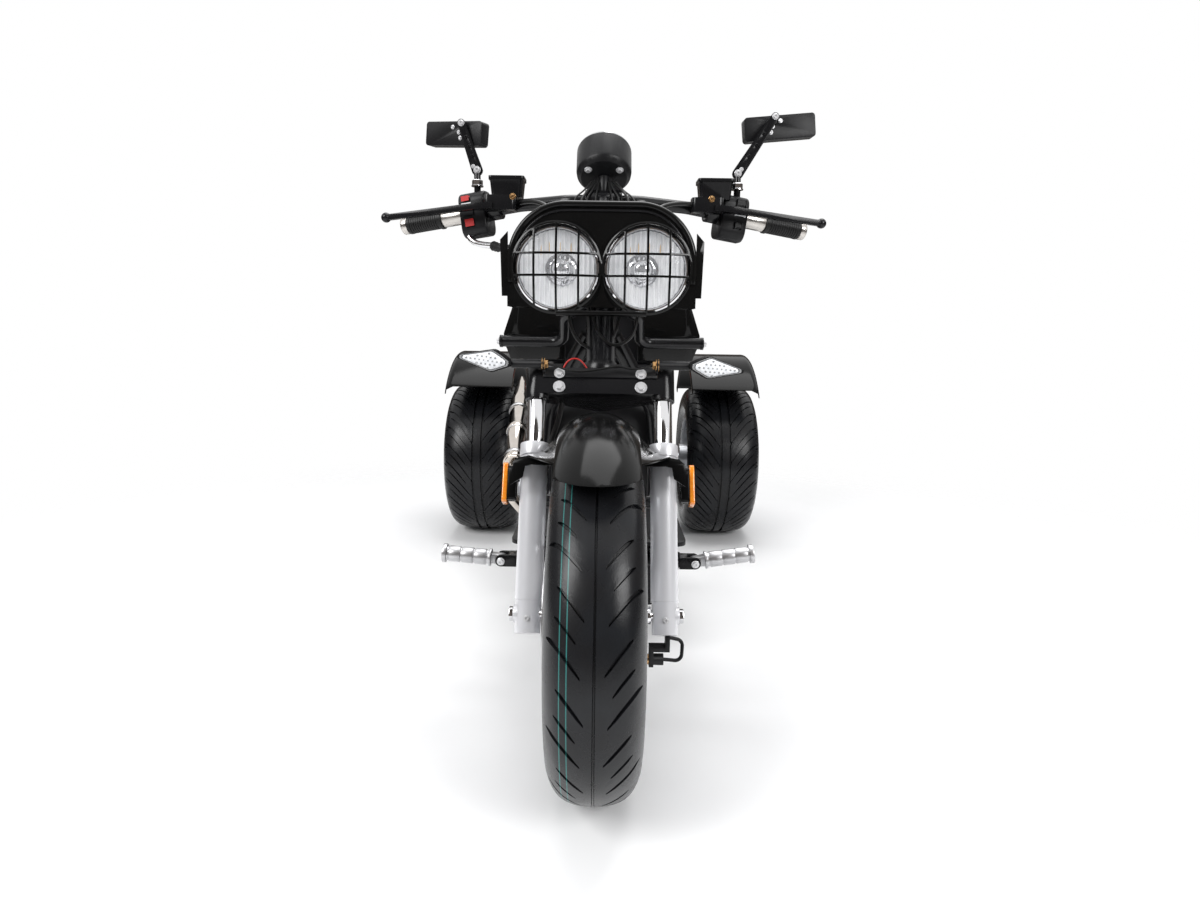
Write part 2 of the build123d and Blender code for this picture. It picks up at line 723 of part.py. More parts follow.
# Twin headlamps: bowls, lenses, the guard and the arched cowl behind them
bowl_wall = 3.0
lamp_half_spacing = lamp_radius + bowl_wall + 4.4
lamp_front = back(lamp_back)
with BuildPart() as headlight_bowls:
    for side in sides:
        centre = (side * lamp_half_spacing, lamp_front, lamp_height)
        with BuildSketch(Plane(origin=centre, x_dir=(1, 0, 0), z_dir=(0, 0, 1))) as bowl:
            with BuildLine():
                Polyline(
                    (0, 84), (26, 84), (lamp_radius - 8, 48),
                    (lamp_radius + bowl_wall, 8), (lamp_radius + bowl_wall, 0),
                    (lamp_radius, 0), (lamp_radius, 8), (lamp_radius - 12, 46), (22, 80), (0, 80), close=True,
                )
            make_face()
        revolve(bowl.sketch, axis=Axis(centre, (0, 1, 0)))

lens_radius = lamp_radius - contact_gap
with BuildPart() as headlight_lenses:
    for side in sides:
        centre = (side * lamp_half_spacing, lamp_front, lamp_height)
        with BuildSketch(Plane(origin=centre, x_dir=(1, 0, 0), z_dir=(0, 0, 1))) as glass:
            with BuildLine():
                TangentArc((0, -11), (lens_radius, 0), tangent=(1, 0))
                Line((lens_radius, 0), (lens_radius, 5))
                TangentArc((0, -7), (lens_radius, 5), tangent=(1, 0))
                Line((0, -7), (0, -11))
            make_face()
        revolve(glass.sketch, axis=Axis(centre, (0, 1, 0)))

# The guard is a grid of flat bars cut out of two shallow domes
guard_y = back(lamp_back - 16)
guard_rise = 14.0
guard_bar = 3.2
guard_outer = lamp_half_spacing + 0.5
guard_inner = guard_outer - 3.6
guard_uprights = (-32, 0, 32)
guard_rows = (-11, 20)
with BuildPart() as guard_domes:
    for side in sides:
        centre = (side * lamp_half_spacing, guard_y, lamp_height)
        with BuildSketch(Plane(origin=centre, x_dir=(1, 0, 0), z_dir=(0, 0, 1))) as dome:
            with BuildLine():
                TangentArc((0, -guard_rise), (guard_outer, 0), tangent=(1, 0))
                Line((guard_outer, 0), (guard_outer, 4))
                TangentArc((0, 4 - guard_rise), (guard_outer, 4), tangent=(1, 0))
                Line((0, 4 - guard_rise), (0, -guard_rise))
            make_face()
        revolve(dome.sketch, axis=Axis(centre, (0, 1, 0)))

with BuildPart() as headlight_guard:
    with BuildSketch(Plane.XZ.offset(-guard_y)) as grid:
        with Locations((-lamp_half_spacing, lamp_height), (lamp_half_spacing, lamp_height)):
            Circle(guard_outer)
        with Locations((-lamp_half_spacing, lamp_height), (lamp_half_spacing, lamp_height)):
            Circle(guard_inner, mode=Mode.SUBTRACT)
        for side in sides:
            for shift in guard_uprights:
                reach = math.sqrt((guard_inner + 2) ** 2 - shift**2)
                with Locations((side * lamp_half_spacing + shift, lamp_height)):
                    Rectangle(guard_bar, 2 * reach)
            for shift in guard_rows:
                reach = math.sqrt((guard_inner + 2) ** 2 - shift**2)
                with Locations((side * lamp_half_spacing, lamp_height + shift)):
                    Rectangle(2 * reach, guard_bar)
    extrude(to_extrude=grid.sketch, amount=40, both=True)
    add(guard_domes.part, mode=Mode.INTERSECT)
    add_tube(
        [
            (-lamp_half_spacing, guard_y + 2, lamp_height - guard_outer + 2),
            (lamp_half_spacing, guard_y + 2, lamp_height - guard_outer + 2),
        ],
        4,
    )
    for side in sides:
        add_tube(
            [
                (side * (lamp_half_spacing + 38.6), guard_y + 2, lamp_height + 49),
                (side * (lamp_half_spacing + 46.6), guard_y + 28, lamp_height + 54),
                (side * (lamp_half_spacing + 46.6), back(cowl_back - 22.5), lamp_height + 54),
            ],
            3,
            8,
        )

cowl_half = lamp_half_spacing + lamp_radius + 15
cowl_top = lamp_height + 93
cowl_bottom = lamp_height - 55
cowl_arc = 85.0
cowl_front = back(lamp_back + 2)
cowl_rear = back(cowl_back)
with BuildPart() as headlight_cowl:
    with BuildSketch(Plane.XZ.offset(-cowl_front)) as shell:
        with BuildLine():
            Line((cowl_half, cowl_bottom - 10), (cowl_half, cowl_top - cowl_arc))
            TangentArc((cowl_half, cowl_top - cowl_arc), (cowl_half - cowl_arc, cowl_top), tangent=(0, 1))
            Line((cowl_half - cowl_arc, cowl_top), (0, cowl_top))
            mirror(about=Plane.YZ)
            Line((-cowl_half, cowl_bottom - 10), (cowl_half, cowl_bottom - 10))
        make_face()
    extrude(to_extrude=shell.sketch, amount=-(cowl_rear - cowl_front))
    with BuildSketch(Plane.XZ.offset(-cowl_front)) as core:
        add(shell.sketch.faces())
        offset(amount=-sheet, mode=Mode.REPLACE)
    extrude(to_extrude=core.sketch, amount=-(cowl_rear - cowl_front - sheet), mode=Mode.SUBTRACT)
    with BuildSketch(Plane.XZ.offset(-cowl_front)) as bezel:
        add(shell.sketch.faces())
        with Locations((-lamp_half_spacing, lamp_height), (lamp_half_spacing, lamp_height)):
            Circle(lamp_radius + bowl_wall + 1, mode=Mode.SUBTRACT)
    extrude(to_extrude=bezel.sketch, amount=-2 * sheet)
    add_block(
        (-cowl_half - 10, cowl_half + 10), (cowl_front - 5, cowl_rear + 5), (cowl_bottom - 20, cowl_bottom),
        mode=Mode.SUBTRACT,
    )
    add_disc(along_fork(0, fork_offset, head_bottom), head_radius + 12, 300, mode=Mode.SUBTRACT)
    for side in sides:
        ear = (
            (side * (cowl_half - 1), lamp_height - 40), (side * (cowl_half + 8), lamp_height - 40),
            (side * (cowl_half + 10), lamp_height + 40), (side * (cowl_half - 1), lamp_height + 52),
        )
        add_outline(Plane.XZ.offset(-cowl_front), ear, -4)
        add_tube(
            [
                (side * (lamp_half_spacing + 46.6), back(cowl_back - 23.5), lamp_height + 54),
                (side * (lamp_half_spacing + 46.6), cowl_rear - 1, lamp_height + 54),
            ],
            3,
        )
        add_tube(
            [
                (side * lamp_half_spacing, lamp_front + 84, lamp_height),
                (side * lamp_half_spacing, cowl_rear, lamp_height),
            ],
            14,
        )
    rim_x = cowl_half - 5
    rim_z = cowl_top - 2
    add_tube(
        [
            (-rim_x, cowl_front, lamp_height - 20), (-rim_x, cowl_front, rim_z),
            (rim_x, cowl_front, rim_z), (rim_x, cowl_front, lamp_height - 20),
        ],
        5,
        cowl_arc - 4,
    )
    add(headlight_guard.part, mode=Mode.SUBTRACT)

# Leg shield, its two support bars and the apron below it
shield_y = back(shield_back)
shield_bar_z = 596.0
shield_bottom = shield_bar_z - 32
shield_top = shield_bar_z + 154
with BuildPart() as leg_shield:
    with BuildSketch(Plane.XY.offset(shield_bottom)) as band:
        with BuildLine():
            ThreePointArc((-shield_half, shield_y + 16), (0, shield_y), (shield_half, shield_y + 16))
            Line((shield_half, shield_y + 16), (shield_half, shield_y + 20))
            ThreePointArc((shield_half, shield_y + 20), (0, shield_y + 4), (-shield_half, shield_y + 20))
            Line((-shield_half, shield_y + 20), (-shield_half, shield_y + 16))
        make_face()
    extrude(to_extrude=band.sketch, amount=shield_top - shield_bottom)
    half_outline = (
        (50, shield_bar_z + 59), (65, shield_bar_z + 44), (65, shield_bottom),
        (shield_half - 13, shield_bottom),
        (shield_half, shield_bar_z), (shield_half, shield_bar_z + 14), (shield_half - 20, shield_bar_z + 72),
        (shield_half - 28, shield_top - 20), (shield_half - 40, shield_top),
    )
    outline = half_outline + tuple((-x, z) for x, z in reversed(half_outline))
    add_outline(Plane.XZ.offset(-shield_y - 40), outline, 80, mode=Mode.INTERSECT)

shield_bar = (
    (14, back(262), shield_bar_z + 72),
    (62, back(320), shield_bar_z + 44),
    (66, shield_y - 9.8, shield_bar_z),
    (shield_half, shield_y + 4.1, shield_bar_z),
)
with BuildPart() as shield_bars:
    add_tube(shield_bar, 10, 26)
    add_disc(across(*shield_bar[-1]), 11, 5)
    mirror(about=Plane.YZ)
    add_disc(head_core, stem_radius + 6, 250, mode=Mode.SUBTRACT)
    add(frame_head.part, mode=Mode.SUBTRACT)
    add(frame_rails.part, mode=Mode.SUBTRACT)
    add(leg_shield.part, mode=Mode.SUBTRACT)

floor_bottom = floor_rail_height + frame_tube_radius + contact_gap
floor_top = floor_bottom + 8
apron_half = 85.0
apron_y = back(apron_tube_back) + cross_radius + contact_gap
with BuildPart() as apron:
    front_line = [
        (shield_y - 8, floor_bottom - 4), (apron_y, floor_bottom + 66), (apron_y, shield_bottom - 100),
        (shield_y - 4, shield_bottom - 6),
    ]
    add_side_profile(front_line + [(y + 4, z) for y, z in reversed(front_line)], (-apron_half, apron_half))

# Footboard, fuel tank under it, and the folding pegs
rib_pitch = 33.8
with BuildPart() as footboard:
    add_block((-165, 165), (shield_y, back(hinge_back - 76)), (floor_bottom, floor_top), corner=20)
    for index in range(9):
        x = (index - 4) * rib_pitch
        rib_run = (shield_y + 20, back(hinge_back - 96))
        add_block((x - 5, x + 5), rib_run, (floor_top, floor_top + 3), corner=4)

tank_top = floor_rail_height - frame_tube_radius - contact_gap
with BuildPart() as fuel_tank:
    tank = (
        (150, tank_top), (140, tank_top - 42), (100, tank_top - 78),
        (-100, tank_top - 78), (-140, tank_top - 42),
        (-150, tank_top),
    )
    add_outline(Plane.XZ.offset(-back(down_tube_back + 30)), tank, -330)

peg_pin_x = rail_half + 44
peg_height = floor_rail_height + 26
peg_rise = {-1: 5.0, 1: 9.0}
ear_inner = 9.0
ear_outer = 14.0
ear_radius = 10.0
pin_radius = 4.0
with BuildPart() as peg_brackets:
    for side in sides:
        add_tube(
            [
                (side * rail_half, back(down_tube_back + 1), peg_height),
                (side * (peg_pin_x - 18), back(peg_back), peg_height),
            ],
            9,
        )
        add_block(
            sorted((side * (peg_pin_x - 26), side * (peg_pin_x - 12))),
            (back(peg_back - ear_outer), back(peg_back + ear_outer)),
            (peg_height - ear_radius, peg_height + ear_radius),
        )
        for low, high in ((-ear_outer, -ear_inner), (ear_inner, ear_outer)):
            with BuildSketch(Plane.XZ.offset(-back(peg_back + low))) as ear:
                with Locations((side * peg_pin_x, peg_height)):
                    Circle(ear_radius)
                with Locations((side * (peg_pin_x - 8), peg_height)):
                    Rectangle(16, 2 * ear_radius)
            extrude(to_extrude=ear.sketch, amount=-(high - low))
        add_tube(
            [
                (side * peg_pin_x, back(peg_back - ear_outer - 3), peg_height),
                (side * peg_pin_x, back(peg_back + ear_outer + 3), peg_height),
            ],
            pin_radius,
        )
    add(frame_rails.part, mode=Mode.SUBTRACT)


def build_peg(side):
    pin = Vector(side * peg_pin_x, back(peg_back), peg_height)
    rise = math.radians(peg_rise[side])
    reach = Vector(side * math.cos(rise), 0, math.sin(rise))
    with BuildPart() as peg:
        with BuildSketch(Plane(origin=pin, x_dir=reach, z_dir=(0, -side, 0))) as tongue:
            Circle(8)
            with Locations((10, 0)):
                Rectangle(20, 16)
        extrude(to_extrude=tongue.sketch, amount=ear_inner - contact_gap, both=True)
        body = Plane(origin=pin + reach * 18, x_dir=(0, 1, 0), z_dir=reach)
        add_disc(body, 15, 4)
        add_disc(body.offset(4), 12, 76)
        for index in range(3):
            add_disc(body.offset(9 + 22 * index), 13.5, 19)
        add_disc(body.offset(76), 16, 7)
        with BuildSketch(Plane(origin=pin, x_dir=reach, z_dir=(0, -side, 0))) as bore:
            Circle(pin_radius + running_fit)
        extrude(to_extrude=bore.sketch, amount=30, both=True, mode=Mode.SUBTRACT)
    return peg


footpeg_left = build_peg(1)
footpeg_right = build_peg(-1)

# Seat that lifts on the pin at its front
seat_front = back(hinge_back - 16)
seat_rear = back(hinge_back + 564)
base_bottom = seat_rail_height + frame_tube_radius + contact_gap
base_top = base_bottom + 16
knuckle_rear = back(hinge_back + 102)
with BuildPart() as seat_base:
    add_block(
        (-seat_half + 8, seat_half - 8),
        (back(hinge_back + 62), seat_rear - 8),
        (base_bottom, base_top),
        corner=30,
    )
    add_block((-58, 58), (seat_front + 6, knuckle_rear), (base_top - 4, base_top + 10))
    add_tube([(-58, back(hinge_back), hinge_height), (58, back(hinge_back), hinge_height)], 9)
    add_tube(
        [(-80, back(hinge_back), hinge_height), (80, back(hinge_back), hinge_height)],
        hinge_pin_radius + running_fit,
        mode=Mode.SUBTRACT,
    )

seat_line = (
    (knuckle_rear + 2, base_top),
    (knuckle_rear + 2, base_top + 11),
    (seat_front, base_top + 12),
    (seat_front + 14, base_top + 62),
    (seat_front + 100, base_top + 84),
    (seat_front + 290, base_top + 84),
    (seat_front + 350, base_top + 114),
    (seat_rear - 40, base_top + 122),
    (seat_rear + 4, base_top + 70),
    (seat_rear - 8, base_top),
)
seat_corners = (1, 1, 12, 34, 120, 60, 60, 34, 30, 8)
with BuildPart() as seat_cushion:
    with BuildSketch(Plane.YZ.offset(-seat_half)) as side_view:
        with BuildLine():
            FilletPolyline(*seat_line, radius=seat_corners, close=True)
        make_face()
    extrude(to_extrude=side_view.sketch, amount=2 * seat_half)
    nose_half = 0.58 * seat_half
    with BuildSketch(Plane.XY.offset(base_top - 10)) as top_view:
        with BuildLine():
            FilletPolyline(
                (-nose_half, seat_front - 1), (nose_half, seat_front - 1), (seat_half, seat_front + 210),
                (seat_half - 12, seat_rear + 5), (12 - seat_half, seat_rear + 5),
                (-seat_half, seat_front + 210),
                radius=(40, 40, 120, 60, 60, 120), close=True,
            )
        make_face()
    extrude(to_extrude=top_view.sketch, amount=160, mode=Mode.INTERSECT)
    flank = (
        (seat_half - 10, base_top - 10), (seat_half, base_top + 26), (seat_half - 16, base_top + 76),
        (seat_half - 34, base_top + 150),
    )
    front_view = flank + tuple((-x, z) for x, z in reversed(flank))
    add_outline(Plane.XZ.offset(-seat_rear - 20), front_view, 640, mode=Mode.INTERSECT)

# Engine: crankcase, finned cylinder, transmission case, air box and exhaust
engine_bottom = engine_tube_height + cross_radius + contact_gap
crankcase_top = engine_bottom + 160.7
crankcase_half = 95.0
crankcase_front = back(880)
with BuildPart() as engine_crankcase:
    add_block(
        (-crankcase_half, crankcase_half),
        (crankcase_front, back(1130)),
        (engine_bottom, crankcase_top),
        corner=24,
    )
    fillet(engine_crankcase.edges().group_by(Axis.Z)[-1], 14)

fin_pitch = 15.0
cylinder_low = engine_bottom + 45.7
with BuildPart() as engine_cylinder:
    for index in range(6):
        y = crankcase_front - 12 - fin_pitch * index
        add_block((-70, 70), (y - 4, y + 4), (cylinder_low - 15, cylinder_low + 105))
    with BuildSketch(Plane.XZ.offset(-crankcase_front)) as barrel:
        with Locations((0, cylinder_low + 45)):
            RectangleRounded(104, 90, 30)
    extrude(to_extrude=barrel.sketch, amount=104)
    with BuildSketch(Plane.XZ.offset(-crankcase_front + 94)) as rocker_cover:
        with Locations((0, cylinder_low + 45)):
            RectangleRounded(120, 108, 24)
    extrude(to_extrude=rocker_cover.sketch, amount=22)

cvt_mid = engine_bottom + 92.7
cvt_radius = 74.0
with BuildPart() as cvt_case:
    with BuildSketch(Plane.YZ.offset(crankcase_half)) as casing:
        with Locations((back(940), cvt_mid), (back(1090), cvt_mid)):
            Circle(cvt_radius)
        make_hull()
    extrude(to_extrude=casing.sketch, amount=58)
    fillet(cvt_case.edges().group_by(Axis.X)[-1], 12)
    for y, radius in ((back(940), 52), (back(1090), 46)):
        add_disc(across(crankcase_half + 58, y, cvt_mid), radius, 8)
        add_disc(across(crankcase_half + 66, y, cvt_mid), radius - 10, 6)
    for index in range(5):
        y = back(1003 + 9 * index)
        add_block((crankcase_half + 57, crankcase_half + 64), (y - 2, y + 2), (cvt_mid - 46, cvt_mid + 46))

with BuildPart() as airbox:
    add_block((20, 110), (back(980), back(1190)), (crankcase_top + 15, crankcase_top + 108), corner=16)
    add_tube([(60, back(1000), crankcase_top + 20), (60, back(1000), crankcase_top)], 16)

muffler_start = Vector(-207, back(800), 295)
muffler_end = Vector(-226, back(1085), 413)
tail_end = Vector(-232, back(1200), 472)
muffler_radius = 24.0
with BuildPart() as exhaust:
    add_tube([muffler_start, muffler_end], muffler_radius)
    run = (muffler_end - muffler_start).normalized()
    for distance in (6.0, 150.0):
        add_disc(Plane(origin=muffler_start + run * distance, z_dir=run), muffler_radius + 3, 14)
    with BuildSketch(Plane(origin=muffler_end, z_dir=run)) as wide:
        Circle(muffler_radius)
    with BuildSketch(Plane(origin=tail_end, z_dir=run)) as narrow:
        Circle(9)
    loft(sections=(wide.sketch, narrow.sketch))
    add_tube(
        [
            (-30, crankcase_front - 68, cylinder_low + 7),
            (-30, crankcase_front - 80, 165),
            (-150, back(740), 165),
            (-203, back(715), 235),
            (-205, back(760), 278),
            muffler_start,
        ],
        13,
        20,
    )
    add(engine_cylinder.part, mode=Mode.SUBTRACT)

# Rear swing arm with axle housing, and the two spring legs
housing_half = 214.0
shaft_radius = 15.0
arm_x = 151.0
shock_x = 156.0
with BuildPart() as rear_swingarm:
    hub = across(-housing_half, rear_axle_y, rear_tyre_radius)
    add_disc(hub, 30, 2 * housing_half)
    add_disc(across(-50, rear_axle_y, rear_tyre_radius), 64, 100)
    for side in sides:
        arm_end = (side * arm_x, rear_axle_y, rear_tyre_radius)
        add_tube([(side * arm_x, back(pivot_back), pivot_height), arm_end], 15)
        add_disc(across(side * arm_x - 13, back(pivot_back), pivot_height), 20, 26)
        add_block(
            sorted((side * (shock_x - 16), side * (shock_x + 16))), (rear_axle_y - 62, rear_axle_y - 34),
            (rear_tyre_radius - 10, rear_tyre_radius + 36),
        )
    add_disc(hub.offset(-10), shaft_radius + running_fit, 2 * housing_half + 20, mode=Mode.SUBTRACT)
    add_disc(across(-200, back(pivot_back), pivot_height), 8, 400, mode=Mode.SUBTRACT)

coil_count = 8
with BuildPart() as rear_shocks:
    shock_foot = Vector(shock_x, rear_axle_y - 48, rear_tyre_radius + 36)
    shock_head = Vector(shock_x, rear_axle_y - 110, seat_rail_height)
    add_tube([shock_foot, shock_head], 14)
    span = shock_head - shock_foot
    run = span.normalized()
    for index in range(coil_count):
        coil = Plane(origin=shock_foot + run * (45 + (span.length - 86) * index / coil_count), z_dir=run)
        add_disc(coil, 25, 9)
    add_tube([(shock_x - 16, shock_head.Y, shock_head.Z), (shock_x + 22, shock_head.Y, shock_head.Z)], 12)
    mirror(about=Plane.YZ)
    add(rear_swingarm.part, mode=Mode.SUBTRACT)
    add(frame_rails.part, mode=Mode.SUBTRACT)

# Rear mudguards round the tyres, tail lamp, signals and number-plate bracket
fender_inner = rear_track / 2 - 99
fender_outer = rear_track / 2 + 92
with BuildPart() as rear_fenders:
    fender_start = Plane(origin=rear_axle.position, x_dir=(1, 0, 0), z_dir=(0, -1, 0))
    fender_start = fender_start.rotated((fender_front, 0, 0))
    with BuildSketch(fender_start) as strip:
        with BuildLine():
            Polyline(
                (fender_outer - sheet, fender_radius - 34), (fender_outer, fender_radius - 34),
                (fender_outer - 5, fender_radius - 14),
            )
            crease = (fender_outer - 27, fender_radius)
            TangentArc((fender_outer - 5, fender_radius - 14), crease, tangent=(-0.3, 1))
            Polyline(
                crease, (fender_inner, fender_radius), (fender_inner, fender_radius - 22),
                (fender_inner + sheet, fender_radius - 22), (fender_inner + sheet, fender_radius - sheet),
                (fender_outer - 28, fender_radius - sheet), (fender_outer - 8, fender_radius - 16),
                (fender_outer - sheet, fender_radius - 34),
            )
        make_face()
    revolve(strip.sketch, axis=rear_axle, revolution_arc=-(fender_front + fender_rear))
    mirror(about=Plane.YZ)
    add(frame_crossmembers.part, mode=Mode.SUBTRACT)

tail_back = rail_end_back + 16
lamp_low = seat_rail_height - 14
with BuildPart() as rear_lamps:
    add_block((-60, 60), (back(tail_back), back(tail_back + 24)), (lamp_low, lamp_low + 40), corner=8)
    for side in sides:
        add_tube(
            [
                (side * 100, back(tail_back - 6), lamp_low - 16),
                (side * 130, back(tail_back + 4), lamp_low - 16),
            ],
            6,
        )
        add_block(
            sorted((side * 130, side * 190)), (back(tail_back - 10), back(tail_back + 20)),
            (lamp_low - 31, lamp_low - 1), corner=8,
        )

plate_y = back(tail_back + 30)
plate_hole_z = seat_rail_height - 70
plate_hole_half = 73.0
plate_hole_radius = 3.4
with BuildPart() as plate_bracket:
    add_block(
        (-112, 112),
        (back(rail_end_back), back(tail_back)),
        (seat_rail_height - 48, seat_rail_height + 30),
    )
    add_block((-92, 92), (plate_y - 4, plate_y), (plate_hole_z - 80, plate_hole_z + 32))
    add_block((-92, 92), (back(tail_back), plate_y - 4), (plate_hole_z + 22, plate_hole_z + 32))
    for side in sides:
        with BuildSketch(Plane.XZ.offset(-plate_y)) as hole:
            with Locations((side * plate_hole_half, plate_hole_z)):
                Circle(plate_hole_radius)
        extrude(to_extrude=hole.sketch, amount=10, mode=Mode.SUBTRACT)
    add(frame_rails.part, mode=Mode.SUBTRACT)
    add(rear_lamps.part, mode=Mode.SUBTRACT)


# Rear wheels with their driven shafts
def build_rear_rim(side):
    centre_x = side * rear_track / 2
    face = across(centre_x, rear_axle_y, rear_tyre_radius)
    with BuildPart() as rim:
        with BuildSketch(Plane(origin=face.origin, x_dir=(1, 0, 0), z_dir=(0, -1, 0))) as barrel:
            with BuildLine():
                Polyline(*rim_outline(rear_bead_radius, rear_rim_half), close=True)
            make_face()
        revolve(barrel.sketch, axis=rear_axle)
        with BuildSketch(face.offset(side * 28)) as spokes:
            with PolarLocations(70, 5):
                Rectangle(96, 40)
        extrude(to_extrude=spokes.sketch, amount=side * 16)
        add_disc(face.offset(side * 50), 44, -side * 160)
        inner = 150.0 - rear_track / 2
        add_disc(face.offset(side * inner), shaft_radius, side * 120)
    return rim


rear_rim_left = build_rear_rim(1)
rear_rim_right = build_rear_rim(-1)
rear_tyre_left = build_tyre(
    rear_track / 2, rear_axle, rear_tyre_radius, rear_tyre_width, rear_bead_radius, rear_rim_half, 12
)
rear_tyre_right = build_tyre(
    -rear_track / 2, rear_axle, rear_tyre_radius, rear_tyre_width, rear_bead_radius, rear_rim_half, 12
)

pieces = {
    "front_tyre": front_tyre,
    "front_rim": front_rim,
    "front_brake_disc": front_brake_disc,
    "front_axle": front_axle_shaft,
    "fork_lowers": fork_lowers,
    "fork_stanchions": fork_stanchions,
    "fork_crown": fork_crown,
    "front_fender": front_fender,
    "front_brake_caliper": front_brake_caliper,
    "speed_sensor": speed_sensor,
    "fork_reflectors": fork_reflectors,
    "front_signal_stalks": front_signal_stalks,
    "front_signal_lenses": front_signal_lenses,
    "handlebar": handlebar,
    "handlebar_riser": handlebar_riser,
    "grips": grips,
    "grip_metal": grip_metal,
    "switch_housings": switch_housings,
    "brake_master_cylinders": brake_master_cylinders,
    "brake_levers": brake_levers,
    "mirror_arms": mirror_arms,
    "mirror_heads": mirror_heads,
    "mirror_glasses": mirror_glasses,
    "gauge_pod": gauge_pod,
    "control_cables": control_cables,
    "frame_head": frame_head,
    "frame_rails": frame_rails,
    "engine_cradle": engine_cradle,
    "frame_crossmembers": frame_crossmembers,
    "headlight_bowls": headlight_bowls,
    "headlight_lenses": headlight_lenses,
    "headlight_guard": headlight_guard,
    "headlight_cowl": headlight_cowl,
    "leg_shield": leg_shield,
    "shield_bars": shield_bars,
    "apron": apron,
    "footboard": footboard,
    "fuel_tank": fuel_tank,
    "peg_brackets": peg_brackets,
    "footpeg_left": footpeg_left,
    "footpeg_right": footpeg_right,
    "seat_base": seat_base,
    "seat_cushion": seat_cushion,
    "engine_crankcase": engine_crankcase,
    "engine_cylinder": engine_cylinder,
    "cvt_case": cvt_case,
    "airbox": airbox,
    "exhaust": exhaust,
    "rear_swingarm": rear_swingarm,
    "rear_shocks": rear_shocks,
    "rear_fenders": rear_fenders,
    "rear_lamps": rear_lamps,
    "plate_bracket": plate_bracket,
    "rear_rim_left": rear_rim_left,
    "rear_tyre_left": rear_tyre_left,
    "rear_rim_right": rear_rim_right,
    "rear_tyre_right": rear_tyre_right,
}
for label, piece in pieces.items():
    piece.part.label = label
    export_step(piece.part, f"parts/{label}.step")
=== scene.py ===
import json
import math

import bmesh
import bpy
from mathutils import Matrix, Vector
from mathutils.bvhtree import BVHTree
from mathutils.geometry import delaunay_2d_cdt


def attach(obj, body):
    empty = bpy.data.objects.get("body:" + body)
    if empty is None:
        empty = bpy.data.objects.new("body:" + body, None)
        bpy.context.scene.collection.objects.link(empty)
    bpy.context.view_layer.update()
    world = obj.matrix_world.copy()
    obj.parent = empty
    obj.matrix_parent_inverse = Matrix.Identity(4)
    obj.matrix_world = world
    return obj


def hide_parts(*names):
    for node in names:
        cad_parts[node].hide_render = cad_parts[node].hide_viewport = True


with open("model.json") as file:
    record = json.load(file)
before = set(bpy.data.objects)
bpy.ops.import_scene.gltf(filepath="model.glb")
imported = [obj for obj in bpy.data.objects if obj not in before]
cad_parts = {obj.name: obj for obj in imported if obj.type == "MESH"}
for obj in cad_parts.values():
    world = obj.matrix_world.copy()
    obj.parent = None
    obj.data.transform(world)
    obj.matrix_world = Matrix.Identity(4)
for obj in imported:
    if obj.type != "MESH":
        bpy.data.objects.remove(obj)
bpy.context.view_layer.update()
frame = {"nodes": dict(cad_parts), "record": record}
nodes = frame["nodes"]
record = frame["record"]
slotOf = {part["node"]: part["material_slot"] for part in record["subparts"]}
bodyOf = {node: body for body, group in record["behaviour"]["bodies"].items() for node in group}

camera = {
    "place": (0.00649, -1.65279, 0.62552), "focal": 756.08, "pitch": 9.33, "yaw": -0.27, "roll": -0.82, "sensor": 36,
    "pictureWidth": 1200,
}
axleBack = 673
frontAxle = Vector((0, -axleBack / 1000, 0.237))
rearAxle = Vector((0, 0.658, 0.226))
rake = math.radians(26.4)


def addCamera(info):
    pitch, yaw, roll = (math.radians(info[k]) for k in ("pitch", "yaw", "roll"))
    forward = Vector((math.sin(yaw) * math.cos(pitch), math.cos(yaw) * math.cos(pitch), -math.sin(pitch)))
    right = Vector((math.cos(yaw), -math.sin(yaw), 0))
    down = forward.cross(right)
    side = right * math.cos(roll) + down * math.sin(roll)
    low = down * math.cos(roll) - right * math.sin(roll)
    data = bpy.data.cameras.new("camera")
    data.sensor_width = info["sensor"]
    data.lens = info["focal"] * info["sensor"] / info["pictureWidth"]
    data.clip_start = 0.05
    cam = bpy.data.objects.new("camera", data)
    turn = Matrix((side, -low, -forward)).transposed().to_4x4()
    cam.matrix_world = Matrix.Translation(info["place"]) @ turn
    bpy.context.scene.collection.objects.link(cam)
    bpy.context.scene.camera = cam


addCamera(camera)
bpy.context.scene.view_settings.view_transform = "Standard"
print("camera", flush=True)


# places in millimetres: behind the front axle, or along the raked fork from it
def behind(x, back, z):
    return Vector((x / 1000, (back - axleBack) / 1000, z / 1000))


def onFork(x, y, z):
    run = y * math.cos(rake) + z * math.sin(rake)
    rise = z * math.cos(rake) - y * math.sin(rake)
    return frontAxle + Vector((x, run, rise)) / 1000


# a node whose inputs take plain values or other nodes' outputs
def addNode(tree, kind, inputs=None, **settings):
    node = tree.nodes.new(kind)
    for key, value in settings.items():
        setattr(node, key, value)
    for key, value in (inputs or {}).items():
        if isinstance(value, bpy.types.NodeSocket):
            tree.links.new(value, node.inputs[key])
        else:
            node.inputs[key].default_value = value
    return node


def nodeTree(material):
    material.use_nodes = True
    tree = material.node_tree
    tree.nodes.clear()
    shader = addNode(tree, "ShaderNodeBsdfPrincipled")
    addNode(tree, "ShaderNodeOutputMaterial", {"Surface": shader.outputs["BSDF"]})
    return tree, shader


def objectCoords(tree):
    return addNode(tree, "ShaderNodeTexCoord").outputs["Object"]


def acrossX(tree):
    return addNode(tree, "ShaderNodeSeparateXYZ", {"Vector": objectCoords(tree)}).outputs["X"]


